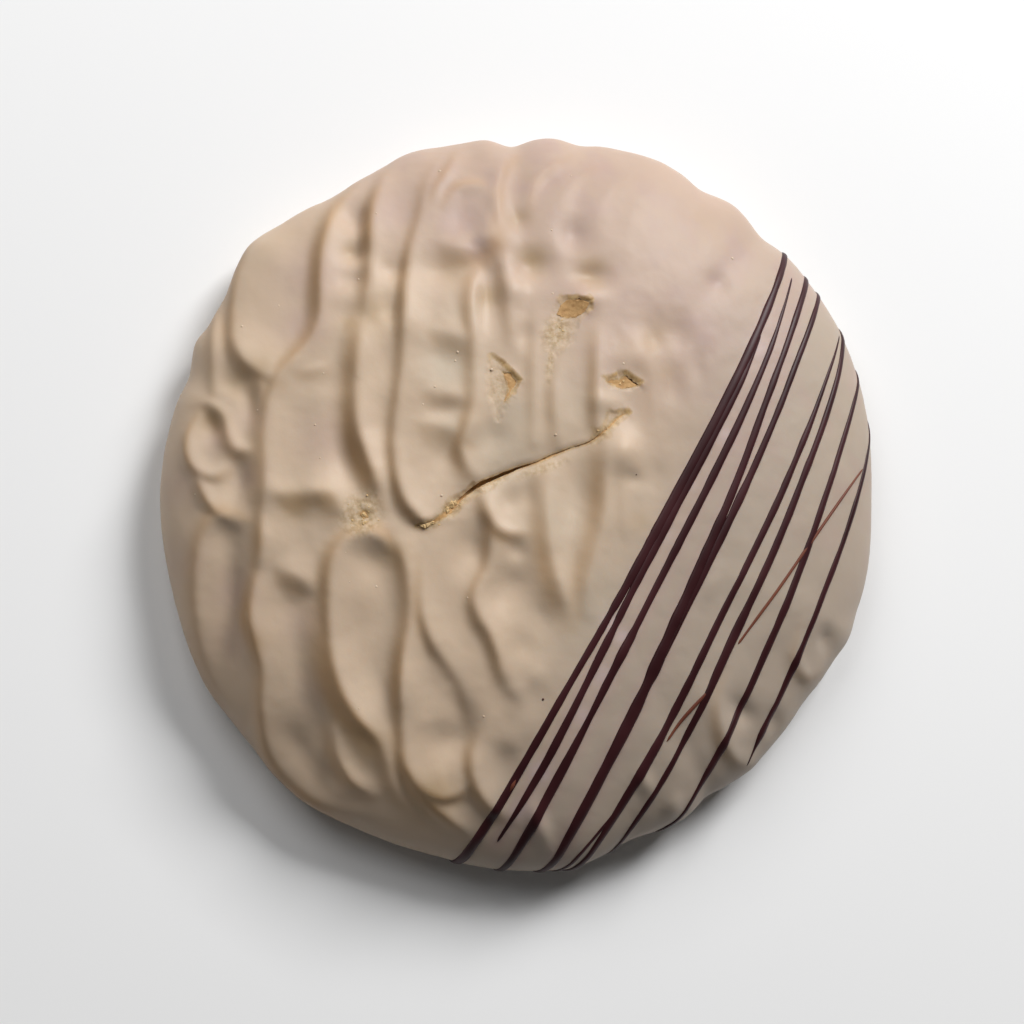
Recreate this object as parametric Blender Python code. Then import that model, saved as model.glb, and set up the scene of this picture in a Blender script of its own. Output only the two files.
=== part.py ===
"""Coated lebkuchen: a round, gently domed biscuit in a cream coating that has set in upright folds.

The coating is a closed shell all round the biscuit. It is open along one long crack over the middle
and at four small broken spots, where the biscuit shows. Lengths are in millimetres until the meshes
are made; the base is flat on z = 0 and the middle of the outline's box is on the z axis.
"""
import bpy
import numpy as np

MM = 0.001

# Outline at the widest level: distance from the middle every 15 degrees, counter-clockwise from +x
RIM = (47.7, 48.7, 49.4, 49.1, 49.2, 49.3, 48.5, 48.5, 47.9, 48.6, 47.7, 47.6,
       48.1, 48.2, 48.8, 49.0, 49.4, 49.2, 49.8, 48.8, 47.6, 47.3, 47.4, 48.0)
# Small swellings and dips of the outline: direction in degrees, half width in degrees, height
RIM_BUMPS = ((54, 3.0, 0.5), (60, 2.5, -0.4), (68, 5.0, 0.5), (81, 2.5, -0.4), (92.5, 2.5, -0.9),
             (109, 4.0, 0.5), (123, 4.0, -0.5), (138, 4.0, 0.6), (149, 4.0, -0.4), (156, 3.0, 0.5),
             (162, 3.0, -0.5), (277, 4.0, 0.5), (287, 4.0, -0.6), (301, 2.5, -0.5), (323, 4.0, -0.4),
             (336, 3.0, 0.5))
MIDDLE = (1.6, 1.9)      # crown of the dome
MEAN_RADIUS = 48.0       # radius that the dome's arc is measured for

CROWN_HEIGHT = 17.0      # top of the dome, before the folds
WAIST_HEIGHT = 4.5       # level of the widest outline
FOOT_INSET = 2.6         # how far the flat foot lies inside the widest outline
DOME_SPREAD = 2.5        # larger keeps the top flatter further out
DOME_FALL = 1.9          # larger makes the shoulder rounder
PROFILE_STEPS = 2000     # steps that the dome's arc is measured in

SHELL = 1.5              # thickness of the coating
GAP = 0.3                # clearance between the coating and the biscuit
CORE_SHARE = 0.55        # share of the folds that the biscuit's own top follows

OUTER_RINGS = 26         # rings of facets over the outer dome
OUTER_WALL_ROWS = 4      # rows of facets down the outer wall
INNER_RINGS = 13         # rings of facets over each inner dome
INNER_WALL_ROWS = 3      # rows of facets down each inner wall
CURVE_PARTS = 5          # steps between two points of a rounded line

FOLD_SCALE = 1.2         # how much the folds stand up, against the rises below
FOLD_SOFTNESS = 0.6      # rounding of the folds' crests
HOLLOW_POWER = 2.0       # how a fold falls away on its hollow side
STEEP_POWER = 1.7        # how it falls away on its steep side
MAP_STEP = 0.5           # spacing of the height map that the facets are read from
MAP_HALF = 54.0          # half width of that map
END_TAPER = 4.0          # length over which a fold dies away at its ends

# Folds: rise, reach on the hollow side, reach on the steep side, then points along the crest.
# The hollow side lies on the left hand going along the points.
FOLDS = (
    (1.1, 6.5, 3.0, ((-35.8, 32.0), (-37.2, 24.0), (-35.2, 17.2), (-31.2, 15.0))),
    (0.8, 5.0, 2.2, ((-31.0, 15.6), (-32.7, 8.0), (-32.5, 3.0), (-33.2, -9.5), (-34.1, -15.5),
                     (-32.5, -22.0), (-31.7, -32.0), (-25.5, -37.8))),
    (1.1, 4.2, 2.6, ((-21.5, 42.0), (-25.5, 33.0), (-26.0, 23.5), (-31.2, 15.4))),
    (0.8, 4.0, 2.4, ((-31.0, 15.7), (-25.5, 16.4), (-21.5, 18.5))),
    (1.1, 4.6, 2.2, ((-17.5, 43.5), (-19.4, 35.0), (-19.6, 28.0), (-20.2, 24.0))),
    (1.1, 3.2, 3.6, ((-20.4, 23.0), (-21.2, 14.0), (-20.0, 5.5), (-18.0, 0.0))),
    (1.0, 6.0, 1.6, ((-11.0, 45.0), (-14.3, 32.5), (-15.4, 18.0), (-16.4, 5.0), (-14.8, -1.2), (-11.5, -3.2))),
    (0.7, 3.2, 3.4, ((-14.3, 32.3), (-8.0, 32.0), (-4.8, 34.2), (-4.2, 39.0))),
    (0.6, 7.0, 3.4, ((-15.0, 21.0), (-9.0, 20.2), (-6.3, 19.0))),
    (0.9, 3.0, 2.4, ((-5.0, 33.0), (-6.7, 24.0), (-6.3, 14.0), (-7.4, 6.5), (-6.0, 1.8))),
    (0.5, 3.0, 1.8, ((-3.2, 34.0), (-2.0, 26.0), (-1.6, 19.5))),
    (0.8, 3.2, 1.8, ((-5.2, 0.2), (-3.6, -4.0), (0.0, -4.6))),
    (1.0, 4.6, 1.5, ((-4.2, -3.8), (-4.5, -9.0), (-6.3, -13.0), (-3.4, -19.8), (-1.5, -24.6), (2.0, -27.4))),
    (1.2, 4.2, 1.4, ((-12.8, -8.0), (-12.6, -15.5), (-10.0, -20.6), (-6.2, -29.0))),
    (1.0, 5.2, 2.6, ((-16.8, -4.6), (-14.4, -12.0), (-16.0, -24.0), (-14.3, -34.3), (-10.8, -38.9), (-6.0, -43.0))),
    (1.1, 5.0, 2.6, ((-16.6, -7.0), (-20.5, -4.9), (-24.1, -9.0), (-24.1, -18.0), (-20.0, -28.3), (-13.0, -40.0))),
    (0.9, 3.0, 2.4, ((-23.6, -29.2), (-23.1, -32.5), (-19.0, -37.2))),
    (0.8, 4.5, 2.2, ((-32.6, -7.0), (-28.6, -10.2), (-25.5, -14.4))),
    (0.8, 3.8, 3.0, ((-32.5, 0.5), (-26.5, 0.5), (-22.8, -3.0))),
    (0.7, 3.2, 1.8, ((-36.0, -3.2), (-40.4, -5.2), (-41.1, -14.0), (-37.0, -27.0))),
    (0.9, 3.0, 1.5, ((-41.4, 3.2), (-39.6, -0.8), (-35.5, -1.5))),
    (0.9, 3.0, 1.5, ((-41.2, 11.0), (-42.4, 5.2), (-38.0, 3.2))),
    (0.6, 2.2, 1.8, ((-38.2, 29.0), (-39.8, 21.0), (-39.2, 13.5))),
    (0.8, 3.8, 2.8, ((9.4, 17.0), (9.6, 8.0), (10.2, -2.0), (7.6, -14.0))),
    (0.8, 4.0, 2.2, ((2.8, 2.0), (3.4, -8.0), (5.8, -16.0))),
    (0.9, 4.4, 1.8, ((-5.5, -30.5), (-5.8, -36.0), (-1.8, -40.4))),
)

# Soft hollows between the folds: x, y, half width, half length, depth
HOLLOWS = (
    (-27.5, 27.0, 4.0, 7.0, 0.7), (-21.9, 34.0, 1.8, 3.6, 0.9), (-23.0, 11.5, 2.0, 5.0, 0.6),
    (-21.8, 5.0, 2.0, 3.6, 0.8), (-27.5, 8.0, 3.5, 4.0, 0.3), (-27.4, -4.0, 3.4, 2.4, 0.5),
    (-29.0, -13.0, 2.4, 2.6, 0.6), (-26.5, -22.0, 2.4, 4.5, 0.7), (-26.4, -30.5, 2.6, 4.6, 0.7),
    (-18.0, -10.0, 2.4, 4.4, 0.9), (-18.5, -21.0, 2.4, 4.4, 0.5), (-36.8, -10.0, 1.8, 7.0, 0.6),
    (-39.6, 9.7, 1.7, 1.8, 1.0), (-36.2, 2.5, 1.5, 3.2, 0.7), (-34.8, 12.0, 1.5, 3.0, 0.7),
    (-17.3, 20.0, 1.6, 5.0, 0.4), (-8.6, 29.8, 3.4, 1.6, 0.5), (-9.2, 16.6, 3.0, 1.8, 0.5),
    (-9.6, 5.0, 2.4, 3.0, 0.7), (-4.4, 26.0, 1.6, 3.8, 0.8), (-5.8, -6.0, 1.8, 3.2, 0.9),
    (-1.8, -11.6, 2.4, 2.8, 0.7), (-7.6, -27.5, 1.8, 3.0, 0.6), (-9.0, -30.0, 3.0, 3.0, 0.8),
    (1.6, 30.5, 2.2, 2.0, 0.9), (9.8, 30.2, 2.2, 1.5, 0.7), (6.6, 34.6, 1.8, 2.0, 0.5),
    (18.6, 22.0, 2.8, 2.6, 0.4), (29.0, -27.0, 2.2, 1.8, 0.5),
)

# Crack over the middle: points along it, with the half width at each
CRACK = ((13.6, 11.4, 0.12), (11.8, 10.0, 0.32), (9.6, 7.8, 0.30), (7.0, 6.5, 0.15), (3.6, 5.3, 0.16),
         (0.0, 3.9, 0.15), (-3.2, 2.6, 0.18), (-5.6, 1.5, 0.25), (-7.8, -0.2, 0.20), (-9.2, -2.0, 0.34),
         (-11.4, -3.4, 0.32), (-13.8, -3.8, 0.12))

# Broken spots: corner points of the opening in the coating
SPOTS = (
    ((5.0, 25.2), (5.2, 23.8), (6.6, 23.1), (8.0, 23.9), (8.6, 25.3), (7.4, 26.1), (6.0, 25.9)),
    ((-4.5, 17.1), (-3.7, 14.4), (-3.5, 10.9), (-2.3, 12.8), (-0.8, 14.9), (-2.5, 16.3)),
    ((10.6, 15.1), (11.7, 14.5), (12.8, 14.1), (15.2, 14.6), (14.4, 15.6), (13.1, 16.2), (11.8, 15.6)),
    ((-21.4, -2.6), (-20.2, -3.7), (-18.9, -2.9), (-19.2, -1.6), (-20.6, -1.4)),
)
CUT_LOW = 11.0           # the openings are cut from inside the hollow of the shell
CUT_HIGH = 21.0          # to above the crown

# Colours and finish
CREAM = (0.54, 0.41, 0.30)
CREAM_ROUGHNESS = 0.42
CRUMB = (0.36, 0.19, 0.07)
CRUMB_ROUGHNESS = 0.85


def smooth_curve(points, parts):
    """Points along a rounded line through the given points, by Catmull and Rom's spline."""
    path = np.array(points, dtype=float)
    path = np.vstack([2 * path[0] - path[1], path, 2 * path[-1] - path[-2]])
    steps = np.arange(parts)[:, None] / parts
    pieces = []
    for a, b, c, d in zip(path, path[1:], path[2:], path[3:]):
        slope = c - a
        bend = 2 * a - 5 * b + 4 * c - d
        twist = 3 * b - a - 3 * c + d
        pieces.append(0.5 * (2 * b + slope * steps + bend * steps ** 2 + twist * steps ** 3))
    pieces.append(path[-2][None])
    return np.vstack(pieces)


def fold_height(x, y, rise, hollow_reach, steep_reach, crest):
    """Height of one fold over the map: a cusp that falls gently on one side and steeply on the other."""
    line = smooth_curve(crest, CURVE_PARTS)
    along = np.concatenate([[0.0], np.cumsum(np.linalg.norm(np.diff(line, axis=0), axis=1))])
    nearest = np.full(x.shape, 1e9)
    side = np.ones(x.shape)
    station = np.zeros(x.shape)
    for i in range(len(line) - 1):
        step = line[i + 1] - line[i]
        part = ((x - line[i, 0]) * step[0] + (y - line[i, 1]) * step[1]) / (step @ step)
        part = np.clip(part, 0.0, 1.0)
        away = np.hypot(x - line[i, 0] - part * step[0], y - line[i, 1] - part * step[1])
        turn = step[0] * (y - line[i, 1]) - step[1] * (x - line[i, 0])
        closer = away < nearest - 1e-6
        nearest = np.where(closer, away, nearest)
        side = np.where(closer, turn, side)
        station = np.where(closer, along[i] + part * (along[i + 1] - along[i]), station)
    taper = np.clip(np.minimum(station, along[-1] - station) / END_TAPER, 0.0, 1.0)
    gentle = np.clip(1.0 - nearest / hollow_reach, 0.0, 1.0) ** HOLLOW_POWER
    steep = np.clip(1.0 - nearest / steep_reach, 0.0, 1.0) ** STEEP_POWER
    return rise * taper * np.where(side >= 0.0, gentle, steep)


def soften(heights, width):
    """The height map with its creases rounded over the given width."""
    reach = int(3 * width / MAP_STEP) + 1
    weights = np.exp(-0.5 * (np.arange(-reach, reach + 1) * MAP_STEP / width) ** 2)
    weights /= weights.sum()
    for axis in (0, 1):
        heights = np.apply_along_axis(np.convolve, axis, heights, weights, "same")
    return heights


def relief_map():
    """Height of the folds and hollows on a square grid over the top."""
    ticks = np.arange(-MAP_HALF, MAP_HALF + MAP_STEP, MAP_STEP)
    x, y = np.meshgrid(ticks, ticks)
    heights = np.zeros(x.shape)
    for rise, hollow_reach, steep_reach, crest in FOLDS:
        heights = np.maximum(heights, fold_height(x, y, rise, hollow_reach, steep_reach, crest))
    for cx, cy, half_width, half_length, depth in HOLLOWS:
        heights -= depth * np.exp(-((x - cx) / half_width) ** 2 - ((y - cy) / half_length) ** 2)
    return FOLD_SCALE * soften(heights, FOLD_SOFTNESS)


def read_map(heights, x, y):
    """Heights at the points x, y."""
    column = (x + MAP_HALF) / MAP_STEP
    row = (y + MAP_HALF) / MAP_STEP
    i = column.astype(int)
    j = row.astype(int)
    u = column - i
    v = row - j
    near = heights[j, i] * (1 - u) + heights[j, i + 1] * u
    far = heights[j + 1, i] * (1 - u) + heights[j + 1, i + 1] * u
    return near * (1 - v) + far * v


def rim_radius(angle):
    """Radius of the uneven outline in the given directions."""
    radii = np.array(RIM)
    place = (angle / (2 * np.pi) * len(radii)) % len(radii)
    i = place.astype(int)
    t = place - i
    a, b, c, d = (radii[(i + k) % len(radii)] for k in (-1, 0, 1, 2))
    radius = 0.5 * (2 * b + (c - a) * t + (2 * a - 5 * b + 4 * c - d) * t ** 2 + (3 * b - a - 3 * c + d) * t ** 3)
    for direction, half_width, height in RIM_BUMPS:
        away = (np.degrees(angle) - direction + 180.0) % 360.0 - 180.0
        radius = radius + height * np.exp(-(away / half_width) ** 2)
    return radius


def dome_profile(inset, rings):
    """Share of the radius and height of each ring, evenly spaced from the crown down to the waist."""
    swing = np.linspace(0.0, np.pi / 2, PROFILE_STEPS)
    share = np.sin(swing) ** (2 / DOME_SPREAD)
    fall = np.cos(swing) ** (2 / DOME_FALL)
    fall[-1] = 0.0
    height = WAIST_HEIGHT + (CROWN_HEIGHT - WAIST_HEIGHT - inset) * fall
    length = np.concatenate([[0.0], np.cumsum(np.hypot(np.diff(share) * MEAN_RADIUS, np.diff(height)))])
    stops = np.linspace(0.0, length[-1], rings + 1)
    return np.interp(stops, length, share), np.interp(stops, length, height)


def ring_of_points(count, share, height, inset, tilt, relief, follow):
    """One ring of the skin, pushed out along the dome's slope by the folds."""
    angle = 2 * np.pi * np.arange(count) / count
    radius = (rim_radius(angle) - inset) * share
    x = MIDDLE[0] + radius * np.cos(angle)
    y = MIDDLE[1] + radius * np.sin(angle)
    push = follow * read_map(relief, x, y)
    return np.column_stack([x + push * np.sin(tilt) * np.cos(angle),
                            y + push * np.sin(tilt) * np.sin(angle),
                            height + push * np.cos(tilt)])


def skin(rings, wall_rows, inset, relief, follow):
    """Closed skin of the dome, its side wall and its flat base, as points and outward faces."""
    share, height = dome_profile(inset, rings)
    points = [ring_of_points(1, 0.0, height[0], inset, 0.0, relief, follow)]
    faces = []
    start = 0
    for k in range(1, rings + 1):
        lean = np.arctan2(height[k - 1] - height[k], (share[k] - share[k - 1]) * MEAN_RADIUS)
        points.append(ring_of_points(6 * k, share[k], height[k], inset, lean, relief, follow))
        begin = start + max(1, 6 * (k - 1))
        faces += ring_faces(start, begin, k)
        start = begin
    count = 6 * rings
    for row in range(1, wall_rows + 1):
        turn = 0.5 * np.pi * row / wall_rows
        angle = 2 * np.pi * np.arange(count) / count
        fade = np.cos(turn) ** 2
        outer = points[rings]
        push = fade * (np.hypot(outer[:, 0] - MIDDLE[0], outer[:, 1] - MIDDLE[1]) - rim_radius(angle) + inset)
        radius = rim_radius(angle) - inset - FOOT_INSET * (1 - np.cos(turn)) + push
        level = WAIST_HEIGHT + (inset - WAIST_HEIGHT) * np.sin(turn)
        points.append(np.column_stack([MIDDLE[0] + radius * np.cos(angle),
                                       MIDDLE[1] + radius * np.sin(angle),
                                       np.full(count, level)]))
        for i in range(count):
            j = (i + 1) % count
            faces.append((start + i, start + count + i, start + count + j, start + j))
        start += count
    faces.append(tuple(start + i for i in reversed(range(count))))
    return np.vstack(points), faces


def ring_faces(inner, outer, k):
    """Triangles between ring k - 1 (first point inner) and ring k (first point outer)."""
    faces = []
    inside = max(1, 6 * (k - 1))
    outside = 6 * k
    for sector in range(6):
        for i in range(k):
            a = outer + sector * k + i
            b = outer + (sector * k + i + 1) % outside
            c = inner + (sector * (k - 1) + i) % inside
            faces.append((c, a, b))
            if i < k - 1:
                faces.append((c, b, inner + (sector * (k - 1) + i + 1) % inside))
    return faces


def prism(outline):
    """Upright prism on the outline (counter-clockwise), from inside the shell to above the crown."""
    count = len(outline)
    low = [(x, y, CUT_LOW) for x, y in outline]
    high = [(x, y, CUT_HIGH) for x, y in outline]
    faces = [tuple(reversed(range(count))), tuple(range(count, 2 * count))]
    for i in range(count):
        j = (i + 1) % count
        faces.append((i, j, count + j, count + i))
    return np.array(low + high), faces


def crack_outline():
    """The crack as one narrow outline, counter-clockwise."""
    line = np.array(CRACK)
    heading = np.gradient(line[:, :2], axis=0)
    heading /= np.linalg.norm(heading, axis=1)[:, None]
    across = np.column_stack([-heading[:, 1], heading[:, 0]]) * line[:, 2:]
    one_edge = line[:, :2] - across
    other_edge = line[:, :2] + across
    return [tuple(p) for p in np.vstack([one_edge, other_edge[::-1]])]


def joined(parts):
    """Several meshes as one list of points and faces."""
    points = []
    faces = []
    start = 0
    for some_points, some_faces in parts:
        points.append(some_points)
        faces += [tuple(start + i for i in face) for face in some_faces]
        start += len(some_points)
    return np.vstack(points), faces


def turned_in(part):
    """The same mesh with its faces turned the other way."""
    points, faces = part
    return points, [tuple(reversed(face)) for face in faces]


def add_object(name, part, centre):
    """A mesh object in metres, centred over its base."""
    points, faces = part
    moved = (points - np.array([centre[0], centre[1], 0.0])) * MM
    mesh = bpy.data.meshes.new(name)
    mesh.from_pydata([tuple(p) for p in moved], [], faces)
    mesh.update()
    thing = bpy.data.objects.new(name, mesh)
    bpy.context.scene.collection.objects.link(thing)
    return thing


def material(name, colour, roughness):
    """A Principled material."""
    made = bpy.data.materials.new(name)
    made.use_nodes = True
    shader = made.node_tree.nodes["Principled BSDF"]
    shader.inputs["Base Color"].default_value = (*colour, 1.0)
    shader.inputs["Roughness"].default_value = roughness
    return made


def make_coating(outer, inner, centre):
    """The cream shell with its crack and broken spots cut through."""
    coating = add_object("coating", joined([outer, turned_in(inner)]), centre)
    coating.data.materials.append(material("coating", CREAM, CREAM_ROUGHNESS))
    cuts = [prism(crack_outline())] + [prism(spot) for spot in SPOTS]
    cutter = add_object("openings", joined(cuts), centre)
    cutter.hide_render = True
    cutter.display_type = "WIRE"
    cut = coating.modifiers.new("openings", "BOOLEAN")
    cut.operation = "DIFFERENCE"
    cut.solver = "EXACT"
    cut.object = cutter
    return coating


def make_biscuit(core, centre):
    """The biscuit inside the shell."""
    biscuit = add_object("biscuit", core, centre)
    biscuit.data.materials.append(material("biscuit", CRUMB, CRUMB_ROUGHNESS))
    return biscuit


def build():
    """The whole lebkuchen."""
    for thing in list(bpy.data.objects):
        bpy.data.objects.remove(thing, do_unlink=True)
    relief = relief_map()
    outer = skin(OUTER_RINGS, OUTER_WALL_ROWS, 0.0, relief, 1.0)
    inner = skin(INNER_RINGS, INNER_WALL_ROWS, SHELL, relief, CORE_SHARE)
    core = skin(INNER_RINGS, INNER_WALL_ROWS, SHELL + GAP, relief, CORE_SHARE)
    centre = 0.5 * (outer[0].min(axis=0) + outer[0].max(axis=0))
    make_coating(outer, inner, centre)
    make_biscuit(core, centre)


build()
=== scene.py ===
"""Cream-coated lebkuchen: a domed biscuit in a coating that set in upright folds, with fine dark
chocolate drizzled over one side. The coating is cracked over the middle and broken at a few small spots,
where golden crumb shows. Everything is laid out in millimetres and turned into metres when it is placed.
"""

import functools
import math
import random

import bpy
import numpy as np
from mathutils import Matrix, Vector, noise


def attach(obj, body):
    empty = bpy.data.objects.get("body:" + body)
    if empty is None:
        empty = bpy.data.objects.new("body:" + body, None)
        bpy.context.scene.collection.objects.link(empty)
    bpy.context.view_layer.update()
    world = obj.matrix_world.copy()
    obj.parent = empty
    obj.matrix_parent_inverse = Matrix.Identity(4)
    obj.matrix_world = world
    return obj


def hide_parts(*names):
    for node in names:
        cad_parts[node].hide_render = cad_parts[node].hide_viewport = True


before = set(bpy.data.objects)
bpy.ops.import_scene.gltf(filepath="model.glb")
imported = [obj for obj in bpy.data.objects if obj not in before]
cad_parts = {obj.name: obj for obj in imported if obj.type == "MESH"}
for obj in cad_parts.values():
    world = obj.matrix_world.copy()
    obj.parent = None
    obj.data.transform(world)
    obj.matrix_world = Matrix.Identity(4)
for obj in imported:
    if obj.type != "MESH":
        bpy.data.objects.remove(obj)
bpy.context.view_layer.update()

MM = 0.001
CENTRE = (1.43, 1.26)        # middle of the outline's box, which the part stands on

# ---------------------------------------------------------------- form of the dome, in millimetres
MIDDLE = (1.6, 1.9)
CROWN_HEIGHT = 17.0
WAIST_HEIGHT = 4.5
TOP_LEVEL = 6.5              # above this a point counts as lying on the top
FOOT_LEVEL = 0.5             # and below this on the underside
FOOT_INSET = 2.6
UNDER_INSET = 1.2            # how much further in the flat underside begins
DOME_SPREAD = 2.5
DOME_FALL = 1.9
SHELL = 1.5
GAP = 0.3
CORE_SHARE = 0.55            # share of the folds that the inner wall and the biscuit follow
VALLEY = 0.65                # how far the coating sinks along the crack, and how wide that valley is
VALLEY_REACH = 1.2
LIP = 0.10                   # how far it stands up on the upper right of a break, where and how wide
LIP_PLACE = 0.5
LIP_WIDTH = 0.55
ROUGH_HEIGHT = 0.06          # height of the crumbled grain
WAVE_HEIGHT = 0.060          # height of the faint waves all over the coating, and of the finer ones
WAVELET_HEIGHT = 0.022
CRUMB_RISE = 1.77            # how far the crumb stands up into a break
CRUMB_ROUGHNESS = 0.05
DEEP_CRUMB = 1.00            # how much lower it lies in the left part of the crack
DEEP_BELOW = 8.0             # the crack's side of the plan: y below this
MEAN_RADIUS = 48.0
ARC = 52.0                   # length over the dome from the crown to the waist
WALL = 6.0                   # length down the wall from the waist to the foot
SIDES = 14                   # sides of a strand's section
STRAND_SLIMMING = 0.88       # share of the widths below that the strands have
STRAND_TAPER = 0.6           # length over which an end closes
BETWEEN_REACH = 1.3          # how far the mauve, a painted sheen, reaches on both sides of the first strands
MAP_STEP = 0.25
MAP_HALF = 54.0
CURVE_PARTS = 5              # parts to each stretch of a rounded line
FOLD_SOFTNESS = 0.42
HOLLOW_FALL = 2.0            # powers of the fall on a fold's two sides
STEEP_FALL = 1.7
# The crease settings below place a golden band of painted shade on the steep side of each fold.
CREASE_SOFTNESS = 0.3
CREASE_PLACE = 0.30          # share of the steep reach at which the crease lies
CREASE_WIDTH = 0.35
CREASE_GROWTH = 0.22         # how much wider it is for each millimetre of steep reach
CREASE_FULL = 1.1            # height of a fold whose painted crease shade is fully golden
FOLD_SCALE = 1.13            # how much the crests stand up, against the heights below
CUT_LOW = 11.0
CUT_HIGH = 21.0
CUT_STEP = 0.22              # length of the short steps of a ragged edge
BROWN_EDGE_WIDTH = 0.18         # width of the brown band along a break, partly the broken edge's colour, partly painted shade
FINE_ROUGHNESS = 0.15        # places rougher than this, and as near to a chip, get finer faces
FINE_REACH = 0.6
BUBBLES = 28
BUBBLE_SIZES = (0.09, 0.18)
CRUMB_SIZES = (0.08, 0.16)

# Outline at the widest level: distance from the middle every 15 degrees, counter-clockwise from +x
RIM = (
    47.7, 48.7, 49.4, 49.1, 49.2, 49.3, 48.5, 48.5, 47.9, 48.6, 47.7, 47.6, 48.1, 48.2, 48.8, 49, 49.4, 49.2,
    49.8, 48.8, 47.6, 47.3, 47.4, 48,
)

# Small swellings and dips of the outline: direction in degrees, half width in degrees, height
RIM_BUMPS = (
    (41, 3, 0.2), (47.5, 2.5, -0.5), (54, 3, 0.5), (60, 2.5, -0.4), (68, 5, 0.5), (81, 2.5, -0.4),
    (86, 3, 0.4), (92.5, 2.5, -0.9), (97, 2.5, 0.3), (109, 4, 0.5), (123, 4, -0.5), (138, 4, 0.6),
    (149, 4, -0.4), (156, 3, 0.5), (162, 3, -0.5), (277, 4, 0.5), (287, 4, -0.6), (296, 3, 0.3),
    (301, 2.5, -0.5), (309, 3, 0.3), (323, 4, -0.4), (336, 3, 0.5),
)

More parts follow.
